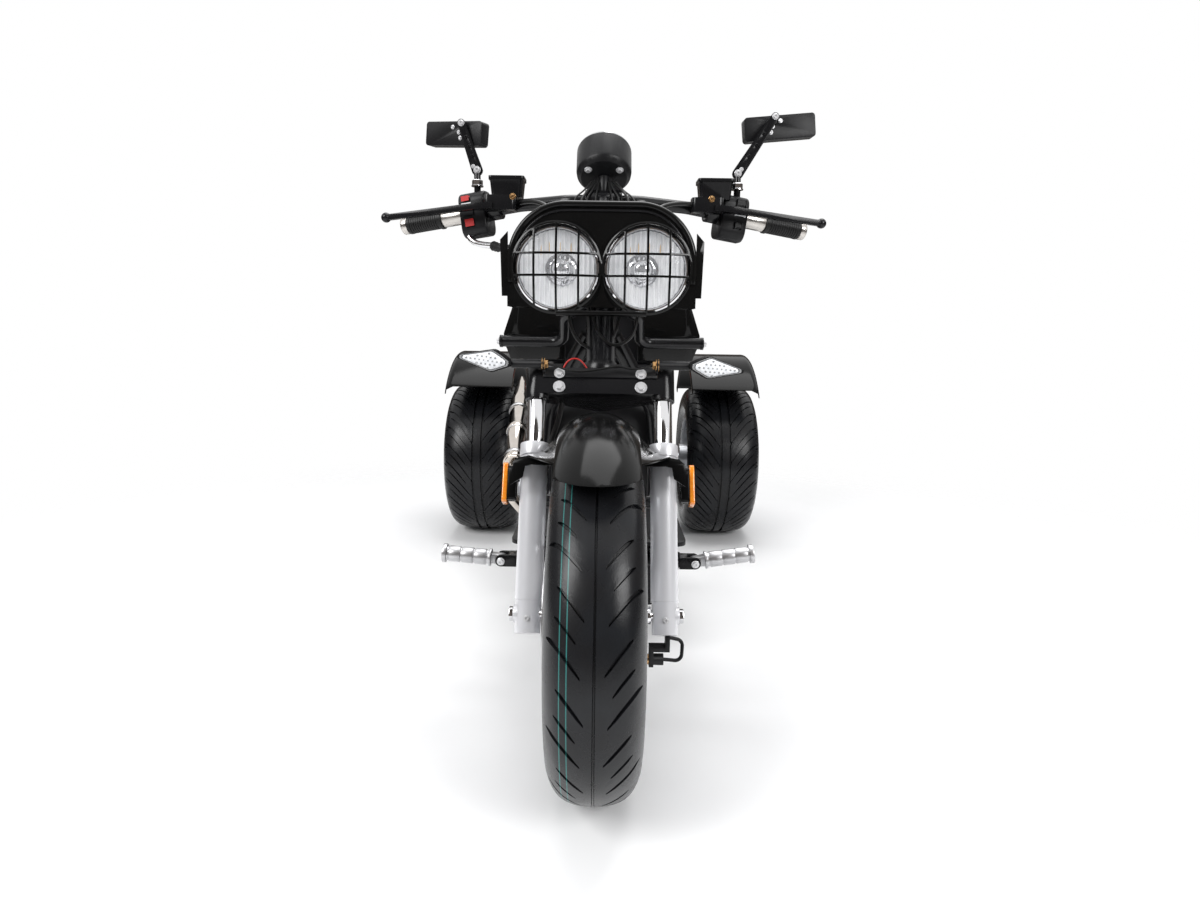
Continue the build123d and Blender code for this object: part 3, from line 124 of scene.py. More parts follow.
def addNoise(tree, scale, detail=4.0, stretch=(1, 1, 1)):
    place = addNode(tree, "ShaderNodeMapping", {"Vector": objectCoords(tree), "Scale": stretch})
    values = {"Vector": place.outputs["Vector"], "Scale": scale, "Detail": detail}
    return addNode(tree, "ShaderNodeTexNoise", values).outputs["Fac"]


# draws the middle of a noise out over a range
def spread(tree, value, low, high):
    values = {"Value": value, "From Min": 0.3, "From Max": 0.7, "To Min": low, "To Max": high}
    return addNode(tree, "ShaderNodeMapRange", values).outputs["Result"]


def mixColor(tree, factor, first, second):
    pair = {key: (*c, 1) if isinstance(c, tuple) else c for key, c in (("A", first), ("B", second))}
    return addNode(tree, "ShaderNodeMix", {**pair, "Factor": factor}, data_type="RGBA").outputs["Result"]


def addMath(tree, operation, first, second=0.0):
    return addNode(tree, "ShaderNodeMath", {0: first, 1: second}, operation=operation).outputs[0]


# thin painted rings round a tyre, by their distance from its middle
def addStripes(tree, color, info):
    across = acrossX(tree)
    for place in info["places"]:
        gap = addMath(tree, "ABSOLUTE", addMath(tree, "SUBTRACT", across, place))
        inside = addMath(tree, "LESS_THAN", gap, info["width"] / 2)
        color = mixColor(tree, inside, color, info["color"])
    return color


# painted shade: fine darker upright lines on the lamp reflector, standing in for the shade in its flutes
def addFluteShade(tree, color, info):
    share = addMath(tree, "FRACT", addMath(tree, "MULTIPLY", acrossX(tree), 1 / info["period"]))
    # mask of the painted shade lines
    line = addMath(tree, "LESS_THAN", share, info["share"])
    return mixColor(tree, addMath(tree, "MULTIPLY", line, info["strength"]), color, info["color"])


def addDust(tree, color, amount):
    dusty = addMath(tree, "MULTIPLY", spread(tree, addNoise(tree, 9, 8), 0, 1), amount)
    return mixColor(tree, dusty, color, (0.16, 0.15, 0.14))


# shader socket: the finish's own word for it, and the value where a finish says nothing
plainSockets = {
    "Metallic": ("metal", 0.0), "Coat Weight": ("coat", 0.0), "Coat Roughness": ("coatRough", 0.05),
    "Specular IOR Level": ("specular", 0.5), "Alpha": ("alpha", 1.0),
}


def makeMaterial(name, info):
    material = bpy.data.materials.new(name)
    tree, shader = nodeTree(material)
    cloud = addNoise(tree, info.get("scale", 25), stretch=info.get("stretch", (1, 1, 1)))
    second = info.get("second", tuple(c * 0.75 for c in info["color"]))
    color = mixColor(tree, spread(tree, cloud, 0, 1), info["color"], second)
    # stripes are print on the tyre, the flute lines are painted shade, dust is dirt
    for key, paint in (("stripes", addStripes), ("fluteShade", addFluteShade), ("dust", addDust)):
        if key in info:
            color = paint(tree, color, info[key])
    tree.links.new(color, shader.inputs["Base Color"])
    swing = info.get("swing", 0.05)
    tree.links.new(spread(tree, cloud, info["rough"] - swing, info["rough"] + swing), shader.inputs["Roughness"])
    for socket, (key, usual) in plainSockets.items():
        shader.inputs[socket].default_value = info.get(key, usual)
    if "bump" in info:
        grain = addNoise(tree, info.get("grain", 600), 2.0, info.get("grainStretch", (1, 1, 1)))
        relief = {"Strength": info["bump"], "Distance": info.get("depth", 0.0005), "Height": grain}
        tree.links.new(addNode(tree, "ShaderNodeBump", relief).outputs["Normal"], shader.inputs["Normal"])
    return material


teal = {"places": (-0.0375, -0.0295), "width": 0.0012, "color": (0.03, 0.16, 0.15)}
finishes = {
    "treadRubber": {
        "color": (0.010, 0.011, 0.013), "second": (0.006, 0.006, 0.007), "rough": 0.27, "specular": 0.26, "bump": 0.2,
        "grain": 900, "stripes": teal, "dust": 0.03,
    },
    "tyreRubber": {
        "color": (0.009, 0.010, 0.012), "second": (0.006, 0.006, 0.007), "rough": 0.27, "specular": 0.24, "bump": 0.2,
        "grain": 900, "dust": 0.03,
    },
    "gripRubber": {"color": (0.012, 0.012, 0.012), "rough": 0.46, "specular": 0.3, "bump": 0.3, "grain": 700},
    "wireRubber": {"color": (0.010, 0.010, 0.010), "rough": 0.32, "specular": 0.3, "bump": 0.1},
    "glossBlack": {"color": (0.006, 0.006, 0.006), "rough": 0.07, "specular": 0.24, "swing": 0.03},
    "fenderBlack": {"color": (0.005, 0.005, 0.005), "rough": 0.15, "specular": 0.12, "swing": 0.03},
    "paintBlack": {"color": (0.008, 0.008, 0.009), "rough": 0.22, "specular": 0.28, "bump": 0.04},
    "plasticBlack": {"color": (0.010, 0.010, 0.011), "rough": 0.38, "specular": 0.22, "bump": 0.2, "grain": 1500},
    "chrome": {"color": (0.8, 0.8, 0.81), "second": (0.72, 0.72, 0.74), "rough": 0.07, "metal": 1.0, "swing": 0.03},
    "silverPaint": {
        "color": (0.68, 0.68, 0.7), "second": (0.65, 0.65, 0.67), "rough": 0.3, "metal": 0.25, "coat": 0.3,
        "swing": 0.02,
    },
    "castAlloy": {"color": (0.6, 0.6, 0.61), "second": (0.48, 0.48, 0.49), "rough": 0.36, "metal": 0.9, "bump": 0.2},
    "wheelSilver": {
        "color": (0.42, 0.43, 0.45), "second": (0.36, 0.37, 0.39), "rough": 0.32, "metal": 0.7, "coat": 0.3,
    },
    "brushedSteel": {"color": (0.6, 0.6, 0.61), "rough": 0.3, "metal": 1.0, "bump": 0.15, "grainStretch": (1, 8, 8)},
    "zincBolt": {"color": (0.78, 0.78, 0.79), "second": (0.62, 0.62, 0.63), "rough": 0.3, "metal": 0.5, "scale": 120},
    # chrome whose warm tint is a painted reflection of the beige room
    "warmReflectionChrome": {
        "color": (0.66, 0.61, 0.56), "second": (0.58, 0.53, 0.48), "rough": 0.1, "metal": 1.0, "swing": 0.03,
    },
    "ferruleSteel": {
        "color": (0.6, 0.57, 0.54), "second": (0.52, 0.5, 0.47), "rough": 0.28, "metal": 1.0, "bump": 0.1,
    },
    "paleAmber": {"color": (0.85, 0.55, 0.22), "second": (0.7, 0.45, 0.18), "rough": 0.2, "coat": 0.5, "scale": 200},
    "redWire": {"color": (0.55, 0.02, 0.015), "rough": 0.35, "scale": 300},
    "brass": {"color": (0.72, 0.44, 0.2), "second": (0.55, 0.32, 0.14), "rough": 0.25, "metal": 1.0, "scale": 120},
    "lampGlass": {
        "color": (0.95, 0.97, 1.0), "second": (0.9, 0.93, 0.97), "rough": 0.05, "alpha": 0.12, "swing": 0.02,
    },
    # lamp reflector: its near-white colour is a painted reflection of the bright light a silvered reflector throws
    # back, and its upright lines are painted shade
    "lampFlutes": {
        "color": (0.98, 0.98, 0.98), "second": (0.88, 0.88, 0.89), "rough": 0.2, "scale": 60,
        "fluteShade": {"period": 0.0036, "share": 0.2, "strength": 0.35, "color": (0.45, 0.46, 0.48)},
        "stretch": (1, 0.2, 0.25),
    },
    "signalWhite": {
        "color": (0.93, 0.94, 0.95), "second": (0.72, 0.74, 0.77), "rough": 0.12, "coat": 0.6, "scale": 190,
        "bump": 0.4, "grain": 260, "depth": 0.001,
    },
    "paleBezel": {"color": (0.62, 0.63, 0.64), "second": (0.5, 0.51, 0.52), "rough": 0.22, "metal": 0.6},
    "amberLens": {"color": (1.0, 0.34, 0.02), "second": (0.85, 0.22, 0.01), "rough": 0.16, "coat": 1.0, "scale": 300},
    "redLens": {
        "color": (0.62, 0.015, 0.012), "second": (0.4, 0.008, 0.008), "rough": 0.14, "coat": 1.0, "scale": 300,
    },
    "mirrorGlass": {
        "color": (0.85, 0.87, 0.9), "second": (0.8, 0.82, 0.85), "rough": 0.02, "metal": 1.0, "swing": 0.015,
    },
    "seatVinyl": {"color": (0.013, 0.013, 0.014), "rough": 0.4, "bump": 0.35, "grain": 420, "depth": 0.0006},
    "redButton": {"color": (0.6, 0.02, 0.02), "rough": 0.3, "coat": 0.4},
    "dialWhite": {"color": (0.75, 0.76, 0.77), "rough": 0.4},
}
materials = {name: makeMaterial(name, info) for name, info in finishes.items()}
print("materials", flush=True)


def newPiece(name, mesh, finish):
    obj = bpy.data.objects.new(name, mesh)
    bpy.context.scene.collection.objects.link(obj)
    mesh.materials.clear()
    mesh.materials.append(materials[finish])
    return obj


def settle(obj, body, slot, *replaced):
    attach(obj, body)
    if replaced:
        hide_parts(*replaced)


# leaves a plain mesh where modifiers were
def bake(obj):
    graph = bpy.context.evaluated_depsgraph_get()
    mesh = bpy.data.meshes.new_from_object(obj.evaluated_get(graph), preserve_all_data_layers=True, depsgraph=graph)
    obj.modifiers.clear()
    obj.data = mesh


def thicken(obj, thickness):
    obj.modifiers.new("wall", "SOLIDIFY").thickness = thickness
    bake(obj)


def smooth(mesh, angle=38):
    mesh.polygons.foreach_set("use_smooth", [True] * len(mesh.polygons))
    mesh.set_sharp_from_angle(angle=math.radians(angle))


def meshOf(bm, name, outward=True):
    if outward:
        bmesh.ops.recalc_face_normals(bm, faces=bm.faces)
    mesh = bpy.data.meshes.new(name)
    bm.to_mesh(mesh)
    bm.free()
    return mesh


def joinMeshes(name, meshes):
    bm = bmesh.new()
    for mesh in meshes:
        bm.from_mesh(mesh)
    return meshOf(bm, name, outward=False)


# a finished piece from one mesh or several, with the CAD nodes it replaces
def addPiece(name, mesh, finish, body, slot, *replaced, angle=38):
    piece = newPiece(name, joinMeshes(name, mesh) if isinstance(mesh, list) else mesh, finish)
    smooth(piece.data, angle)
    settle(piece, body, slot, *replaced)


# the CAD node's triangles, joined where they meet
def joinedMesh(node):
    bm = bmesh.new()
    bm.from_mesh(nodes[node].data)
    bmesh.ops.remove_doubles(bm, verts=bm.verts, dist=0.00001)
    return bm


def surfaceOf(node):
    bm = joinedMesh(node)
    surface = BVHTree.FromBMesh(bm)
    bm.free()
    return surface


# the CAD node's own form with its edges rounded
def refine(node, finish, bevel):
    bm = joinedMesh(node)
    bmesh.ops.dissolve_limit(bm, angle_limit=math.radians(0.6), verts=bm.verts, edges=bm.edges)
    obj = newPiece(node + "Skin", meshOf(bm, node + "Skin", outward=False), finish)
    if bevel:
        edge = obj.modifiers.new("edge", "BEVEL")
        edge.width = bevel / 1000
        edge.segments = 2
        edge.limit_method = "ANGLE"
        edge.angle_limit = math.radians(40)
        bake(obj)
    smooth(obj.data)
    settle(obj, bodyOf[node], slotOf[node], node)


# finish: nodes with the rounding of their edges in millimetres
dress = {
    "fenderBlack": {"front_fender": 1.0, "rear_fenders": 1.0},
    "glossBlack": {"headlight_cowl": 1.2, "leg_shield": 1.2, "cvt_case": 1.5, "headlight_guard": 0.8},
    "paintBlack": {
        "fork_crown": 2.0, "front_brake_caliper": 2.0, "handlebar": 0, "handlebar_riser": 1.5, "brake_levers": 2.0,
        "brake_master_cylinders": 1.5, "mirror_arms": 0.8, "frame_head": 1.5, "frame_rails": 0, "engine_cradle": 0,
        "frame_crossmembers": 0, "shield_bars": 0.8, "peg_brackets": 1.2, "rear_swingarm": 1.5,
    },
    "plasticBlack": {
        "speed_sensor": 0.6, "front_signal_stalks": 0.8, "switch_housings": 3.0, "mirror_heads": 1.2, "gauge_pod": 1.2,
        "footboard": 1.2, "fuel_tank": 5.0, "seat_base": 2.0, "airbox": 3.0, "plate_bracket": 0.8, "apron": 1.5,
    },
    "chrome": {"front_axle": 0.8, "fork_stanchions": 0.8},
    # the silencer's warm tint is a painted reflection of the room
    "warmReflectionChrome": {"exhaust": 0.6},
    "ferruleSteel": {"grip_metal": 1.2},
    "silverPaint": {"fork_lowers": 1.2},
    "wheelSilver": {"front_rim": 1.0, "rear_rim_left": 1.5, "rear_rim_right": 1.5},
    "castAlloy": {"footpeg_left": 1.0, "footpeg_right": 1.0, "engine_crankcase": 2.0, "engine_cylinder": 1.0},
    "brushedSteel": {"front_brake_disc": 0.5},
    "amberLens": {"fork_reflectors": 1.0},
    "redLens": {"rear_lamps": 3.0},
}
plain = {"headlight_lenses": "lampGlass", "headlight_bowls": "chrome", "mirror_glasses": "mirrorGlass"}
for finish, group in dress.items():
    for node, bevel in group.items():
        refine(node, finish, bevel)
for node, finish in plain.items():
    nodes[node].data.materials.clear()
    nodes[node].data.materials.append(materials[finish])
print("skins", flush=True)


def newTree(name, sockets):
    tree = bpy.data.node_groups.new(name, "GeometryNodeTree")
    for label, kind in {"Geometry": "Geometry", **sockets, "Material": "Material"}.items():
        tree.interface.new_socket(label, in_out="INPUT", socket_type="NodeSocket" + kind)
    tree.interface.new_socket("Geometry", in_out="OUTPUT", socket_type="NodeSocketGeometry")
    return tree, addNode(tree, "NodeGroupInput").outputs


# makes copies real, joins what meets and gives the finish
def endTree(tree, source, shape, joined=0.0):
    real = addNode(tree, "GeometryNodeRealizeInstances", {"Geometry": shape}).outputs["Geometry"]
    if joined:
        values = {"Geometry": real, "Distance": joined}
        real = addNode(tree, "GeometryNodeMergeByDistance", values).outputs["Geometry"]
    paint = addNode(tree, "GeometryNodeSetMaterial", {"Geometry": real, "Material": source["Material"]})
    addNode(tree, "NodeGroupOutput", {"Geometry": paint.outputs["Geometry"]})
    return tree


def runTree(obj, tree, finish, values):
    values = {**values, "Material": materials[finish]}
    modifier = obj.modifiers.new(tree.name, "NODES")
    modifier.node_group = tree
    for item in tree.interface.items_tree:
        if item.in_out == "INPUT" and item.name in values:
            modifier[item.identifier] = values[item.name]
    bake(obj)


# repeats a piece round the X axis
def makeRingTree():
    tree, source = newTree("ring", {"Count": "Int", "Step": "Float"})
    index = addNode(tree, "GeometryNodeInputIndex").outputs["Index"]
    angles = addNode(tree, "ShaderNodeCombineXYZ", {"X": addMath(tree, "MULTIPLY", index, source["Step"])})
    turn = addNode(tree, "FunctionNodeEulerToRotation", {"Euler": angles.outputs["Vector"]})
    points = addNode(tree, "GeometryNodePoints", {"Count": source["Count"]})
    values = {
        "Points": points.outputs["Points"], "Instance": source["Geometry"], "Rotation": turn.outputs["Rotation"],
    }
    copies = addNode(tree, "GeometryNodeInstanceOnPoints", values)
    return endTree(tree, source, copies.outputs["Instances"], 0.00003)


# puts a fastener on every point, by the point's own turn and size
def makeFastenerTree():
    tree, source = newTree("fasteners", {"Head": "Object"})
    head = addNode(tree, "GeometryNodeObjectInfo", {"Object": source["Head"]})
    turn = addNode(tree, "GeometryNodeInputNamedAttribute", {"Name": "turn"}, data_type="FLOAT_VECTOR")
    size = addNode(tree, "GeometryNodeInputNamedAttribute", {"Name": "size"}, data_type="FLOAT")
    rotation = addNode(tree, "FunctionNodeEulerToRotation", {"Euler": turn.outputs["Attribute"]})
    values = {
        "Points": source["Geometry"], "Instance": head.outputs["Geometry"], "Scale": size.outputs["Attribute"],
        "Rotation": rotation.outputs["Rotation"],
    }
    copies = addNode(tree, "GeometryNodeInstanceOnPoints", values)
    return endTree(tree, source, copies.outputs["Instances"])


# a coil of round wire along Z
def makeSpringTree():
    tree, source = newTree("spring", {"Turns": "Float", "Radius": "Float", "Height": "Float", "Wire": "Float"})
    values = {
        "Resolution": 28, "Rotations": source["Turns"], "Start Radius": source["Radius"],
        "End Radius": source["Radius"], "Height": source["Height"],
    }
    coil = addNode(tree, "GeometryNodeCurveSpiral", values)
    ring = addNode(tree, "GeometryNodeCurvePrimitiveCircle", {"Resolution": 12, "Radius": source["Wire"]})
    values = {"Curve": coil.outputs["Curve"], "Profile Curve": ring.outputs["Curve"], "Fill Caps": True}
    return endTree(tree, source, addNode(tree, "GeometryNodeCurveToMesh", values).outputs["Mesh"])


ringTree, fastenerTree, springTree = makeRingTree(), makeFastenerTree(), makeSpringTree()


# a smooth line through the points, with its running length
def smoothLine(points, steps=10):
    line = []
    ends = [points[0], *points, points[-1]]
    for a, b, c, d in zip(ends, ends[1:], ends[2:], ends[3:]):
        for step in range(steps):
            t = step / steps
            line.append(
                tuple(
                    0.5 * (2 * q + (r - p) * t + (2 * p - 5 * q + 4 * r - s) * t * t + (3 * q - p - 3 * r + s) * t**3)
                    for p, q, r, s in zip(a, b, c, d)
                )
            )
    line.append(points[-1])
    lengths = [0.0]
    for a, b in zip(line, line[1:]):
        lengths.append(lengths[-1] + math.dist(a, b))
    return line, lengths


def pointOn(line, lengths, distance):
    distance = min(max(distance, 0), lengths[-1])
    index = next((i for i, total in enumerate(lengths) if total >= distance), len(lengths) - 1)
    if index == 0:
        index = 1
    share = (distance - lengths[index - 1]) / max(lengths[index] - lengths[index - 1], 1e-9)
    a, b = line[index - 1], line[index]
    return a[0] + share * (b[0] - a[0]), a[1] + share * (b[1] - a[1])


# grooves: side, place in the period, inner and outer distance from the middle, width
frontTyre = {
    "profile": [(0, 237), (14, 236.2), (28, 233), (41, 226.5), (51, 215), (58, 198), (57, 182), (49, 168), (42, 160),
                (40, 153), (20, 154.5), (0, 155)],
    "count": 13, "rows": 12, "reach": 66, "wall": 8, "sweepStart": 10, "sweepEnd": 65, "sweep": 48, "depth": 4.5,
    "straight": [(0, 1.7)], "straightDepth": 2.6,
    "grooves": [
        (-1, 0.12, 15, 62, 7.2), (-1, 0.70, 11, 44, 7.0), (-1, 0.39, 20, 47, 5.8),
        (1, 0.62, 15, 62, 7.2), (1, 0.20, 11, 44, 7.0), (1, 0.89, 20, 47, 5.8),
    ],
}
rearTyre = {
    "profile": [(0, 226), (30, 225.4), (58, 222.5), (80, 215), (94, 202), (102, 182), (101, 164), (94, 148), (89, 138),
                (88, 128), (50, 131), (0, 132)],
    "count": 26, "rows": 6, "reach": 108, "wall": 10, "sweepStart": 14, "sweepEnd": 112, "sweep": 92, "depth": 5.5,
    "straight": [(-12, 3.4), (12, 3.4)], "straightDepth": 5.0,
    "grooves": [
        (-1, 0.25, 19, 84, 5.0), (-1, 0.68, 32, 98, 5.4), (1, 0.42, 19, 84, 5.0), (1, 0.85, 32, 98, 5.4),
        (-1, 0.46, 90, 106, 4.0), (1, 0.62, 90, 106, 4.0),
    ],
}


# how a groove is cut, in millimetres: mesh spacing, room kept round it, slope of its sides and taper of its ends
cut = {
    "spacing": 6.0, "edge": 4, "clear": 1.6, "end": 2, "lip": 0.8, "floor": 0.7, "inset": 0.9, "steps": 9,
    "inner": (0.45, 2.4), "outer": (0.35, 3.2),
}


# one period of a tyre as a flat sheet with its grooves, bent round the wheel afterwards
def treadPeriod(name, info):
    line, lengths = smoothLine(info["profile"])
    total = lengths[-1]
    radius = info["profile"][0][1]
    period = 2 * math.pi * radius / info["count"]
    columns = []
    distance = 0.0
    while distance < total - cut["edge"]:
        columns.append(distance)
        distance += cut["spacing"] if distance < info["reach"] else info["wall"]
    columns = sorted({*columns, *(-c for c in columns), total, -total})
    for centre, half in info["straight"]:
        columns = [c for c in columns if abs(c - centre) > half + cut["clear"]]
        columns += [centre - half, centre - half + cut["lip"], centre + half - cut["lip"], centre + half]
    columns.sort()
    lowered = [(centre - half + cut["floor"], centre + half - cut["floor"]) for centre, half in info["straight"]]

    def straightDrop(u):
        return info["straightDepth"] if any(low <= u <= high for low, high in lowered) else 0.0

    flat, drops, edges, loops = [], [], [], []

    def addLoop(points, drop):
        first = len(flat)
        flat.extend(points)
        drops.extend([drop] * len(points))
        edges.extend((first + i, first + (i + 1) % len(points)) for i in range(len(points)))

    for side, share, inner, outer, width in info["grooves"]:
        middle = share * period
        room = width / 2 + cut["clear"]
        loops.append((side, inner - cut["end"], outer + cut["end"], middle - room, middle + room))
        for inset, drop in ((0.0, 0.0), (cut["inset"], info["depth"])):
            upper, lower = [], []
            for step in range(cut["steps"] + 1):
                t = step / cut["steps"]
                u = inner + inset + (outer - inner - 2 * inset) * t
                taper = min(1.0, cut["inner"][0] + cut["inner"][1] * t, cut["outer"][0] + cut["outer"][1] * (1 - t))
                half = width / 2 * taper - inset
                upper.append((side * u, middle + half))
                lower.append((side * u, middle - half))
            addLoop(upper + lower[::-1], drop)

    def inGroove(u, v):
        return any(low <= side * u <= high and bottom <= v <= top for side, low, high, bottom, top in loops)

    for row in range(info["rows"] + 1):
        v = period * row / info["rows"]
        for u in columns:
            if 0 < row < info["rows"] and inGroove(u, v):
                continue
            flat.append((u, v))
            drops.append(straightDrop(u))
    result = delaunay_2d_cdt([Vector(p) for p in flat], edges, [], 0, 0.0001)
    verts, faces, origins = result[0], result[2], result[3]
    bm = bmesh.new()
    made = []
    for vert, source in zip(verts, origins):
        u, v = vert
        drop = drops[source[0]] if source else straightDrop(u)
        along = min(max((abs(u) - info["sweepStart"]) / (info["sweepEnd"] - info["sweepStart"]), 0), 1)
        angle = (v + info["sweep"] * math.sin(math.pi / 2 * along)) / radius
        x, r = pointOn(line, lengths, abs(u))
        nextX, nextR = pointOn(line, lengths, abs(u) + 0.5)
        slope = math.atan2(nextR - r, nextX - x)
        x += drop * math.sin(slope)
        r -= drop * math.cos(slope)
        x = math.copysign(x, u) if u else 0.0
        made.append(bm.verts.new(Vector((x, -r * math.cos(angle), r * math.sin(angle))) / 1000))
    for face in faces:
        if len(set(face)) == 3:
            bm.faces.new([made[i] for i in face])
    return meshOf(bm, name, outward=False)


def addTyre(name, info, finish, node, place):
    obj = newPiece(name, treadPeriod(name, info), finish)
    runTree(obj, ringTree, finish, {"Count": info["count"], "Step": -2 * math.pi / info["count"]})
    bm = bmesh.new()
    bm.from_mesh(obj.data)
    bmesh.ops.remove_doubles(bm, verts=bm.verts, dist=0.00004)
    bmesh.ops.recalc_face_normals(bm, faces=bm.faces)
    bm.to_mesh(obj.data)
    bm.free()
    obj.data.transform(Matrix.Translation(place))
    smooth(obj.data, 32)
    settle(obj, bodyOf[node], slotOf[node], node)


addTyre("frontTread", frontTyre, "treadRubber", "front_tyre", frontAxle)
for node, x in (("rear_tyre_left", 0.349), ("rear_tyre_right", -0.349)):
    addTyre(node + "Tread", rearTyre, "tyreRubber", node, rearAxle + Vector((x, 0, 0)))
print("tyres", flush=True)


# faces between rows of vertices, each row a closed ring or an open line
def bridge(bm, rows, closed=True):
    for a, b in zip(rows, rows[1:]):
        count = len(a)
        for i in range(count if closed else count - 1):
            j = (i + 1) % count
            bm.faces.new((a[i], a[j], b[j], b[i]))


def closeEnds(bm, rings):
    bm.faces.new(rings[0][::-1])
    bm.faces.new(rings[-1])


# turns a profile of (along, radius) pairs round an axis
def lathe(name, profile, origin, axis, steps=32, capped=True):
    bm = bmesh.new()
    turn = Vector(axis).normalized().to_track_quat("Z", "Y").to_matrix()
    rings = []
    for along, radius in profile:
        ring = []
        for step in range(steps):
            angle = 2 * math.pi * step / steps
            spot = Vector((radius * math.cos(angle), radius * math.sin(angle), along)) / 1000
            ring.append(bm.verts.new(Vector(origin) + turn @ spot))
        rings.append(ring)
    if capped:
        closeEnds(bm, rings)
    bridge(bm, rings if capped else rings + rings[:1])
    return meshOf(bm, name)


# a bent pipe through the points, first as a curve
def routeCurve(name, points, radius):
    curve = bpy.data.curves.new(name, "CURVE")
    curve.dimensions = "3D"
    spline = curve.splines.new("NURBS")
    spline.points.add(len(points) - 1)
    for point, place in zip(spline.points, points):
        point.co = (*place, 1)
    spline.order_u = 3
    spline.use_endpoint_u = True
    curve.resolution_u = 10
    curve.bevel_depth = radius
    curve.bevel_resolution = 3
    curve.use_fill_caps = True
    return curve


def curveMesh(name, points, radius):
    obj = bpy.data.objects.new(name, routeCurve(name, points, radius))
    bpy.context.scene.collection.objects.link(obj)
    graph = bpy.context.evaluated_depsgraph_get()
    mesh = bpy.data.meshes.new_from_object(obj.evaluated_get(graph))
    bpy.data.objects.remove(obj)
    return mesh


def pipe(name, points, radius, finish, body, slot):
    addPiece(name, curveMesh(name, points, radius), finish, body, slot)


def lengthOf(points):
    mesh = curveMesh("measure", points, 0.0)
    ends = ([mesh.vertices[i].co for i in edge.vertices] for edge in mesh.edges)
    return sum((a - b).length for a, b in ends)


def barHose(side, start):
    return [(side * start, 423, 840), (side * 112, 386, 842), (side * 72, 330, 800), (side * 40, 322, 760)]


# routes of the hoses and leads; the first three repeat the control cables' own points
cables = {
    "barHoseRight": {"width": 8, "node": "control_cables", "route": barHose(-1, 148)},
    "barHoseLeft": {"width": 8, "node": "control_cables", "route": barHose(1, 174)},
    "caliperHose": {
        "width": 8, "node": "control_cables", "place": onFork,
        "route": [(-58, 24, 324), (-58, 30, 300), (-82, 54, 243), (-84, 62, 150), (-84, 84, 60)],
    },
    "signalLead": {
        "width": 3.4, "place": onFork,
        "route": [
            (-77, -30, 356), (-64, -31, 353), (-46, -31, 345), (-22, -30, 345), (6, -30, 350), (26, -30, 355),
            (44, -31, 349), (62, -31, 350), (77, -30, 356),
        ],
    },
    "lampLoopRight": {
        "body": "frame", "width": 5,
        "route": [
            (-52, 208, 664), (-50, 204, 630), (-36, 200, 600), (-10, 198, 588), (18, 204, 602), (30, 216, 640),
            (32, 226, 664),
        ],
    },
    "lampLoopLeft": {
        "body": "frame", "width": 5,
        "route": [
            (56, 208, 664), (56, 200, 628), (44, 192, 604), (20, 188, 594), (-2, 194, 608), (-14, 210, 640),
            (-16, 222, 664),
        ],
    },
    "gaugeLeadRight": {
        "width": 4.4, "route": [(-16, 384, 872), (-24, 372, 858), (-40, 352, 834), (-36, 334, 806), (-24, 330, 780)],
    },
    "gaugeLeadLeft": {
        "width": 4.4, "route": [(16, 384, 872), (26, 370, 860), (44, 350, 838), (40, 334, 808), (24, 330, 782)],
    },
    **{
        f"gaugeWire{index}": {
            "width": 3,
            "route": [
                (x, 382, 871), (x * 1.3, 374, 858), (wide, 358, 838), (wide * 0.9, 342, 812), (wide * 0.5, 334, 788),
            ],
        }
        for index, (x, wide) in enumerate(((-8, -14), (8, 16), (-22, -52), (22, 56), (-13, -30), (12, 28)))
    },
    "redLead": {
        "width": 2.4, "finish": "redWire", "place": onFork,
        "route": [(-56, -6, 358), (-52, -10, 368), (-40, -14, 374), (-26, -10, 370), (-18, -2, 358)],
    },
    "throttleCable": {
        "width": 6, "route": [(-182, 418, 760), (-164, 409, 764), (-124, 384, 776), (-84, 350, 782), (-44, 326, 772)],
    },
}


def addCables(groups):
    for name, info in groups.items():
        width = info["width"] / 1000
        points = [info.get("place", behind)(*p) for p in info["route"]]
        obj = bpy.data.objects.new(name, routeCurve(name, points, width / 2))
        bpy.context.scene.collection.objects.link(obj)
        obj.data.materials.append(materials[info.get("finish", "wireRubber")])
        settle(obj, info.get("body", "steering"), "rubber", *([info["node"]] if "node" in info else []))
        tuple(points[0])
        round(lengthOf(points), 4)


addCables(cables)
print("cables", flush=True)

# fluted reflector, bulb cap, bright rim and pale streaks of each headlamp
headlamps = {
    "centres": (-65.4, 65.4), "height": 707, "front": 150, "reach": 55, "dish": 15, "flute": 7.2, "ripple": 1.7,
    "lean": 6, "rows": 16, "dishBack": 4, "capBack": 20, "streakBack": 11, "streakRadius": 0.0007, "wall": 0.001,
    "cap": [(0, 24), (5, 25), (7, 24), (5.5, 21), (3, 17), (5, 15), (12, 14.4), (17, 12.4), (20, 8.6), (21.4, 4),
            (21.8, 0.6)],
    "rim": [(-6, 56.4), (1, 56.4), (3.2, 57.6), (3.2, 59.2), (1, 61.4), (-6, 61.4)],
    "streaks": [(-24, 20, 40), (-12, 24, 46), (4, 26, 48), (20, 22, 42)],
}


def flutedDish(name, centre, info):
    bm = bmesh.new()
    reach, step, rows = info["reach"], info["flute"] / 4, info["rows"]
    columns = int(reach / step)
    grid = []
    for column in range(-columns, columns + 1):
        x = column * step
        half = math.sqrt(max(reach * reach - x * x, 0.01))
        line = []
        for row in range(rows, -1, -1):
            z = half * (2 * row / rows - 1)
            hollow = info["dish"] * (1 - (math.hypot(x, z) / reach) ** 2)
            ripple = info["ripple"] * math.cos(2 * math.pi * x / info["flute"])
            deep = info["front"] + info["dishBack"] + hollow + ripple
            line.append(bm.verts.new(behind(centre + x, deep, info["height"] + z)))
        grid.append(line)
    bridge(bm, grid, closed=False)
    return meshOf(bm, name)


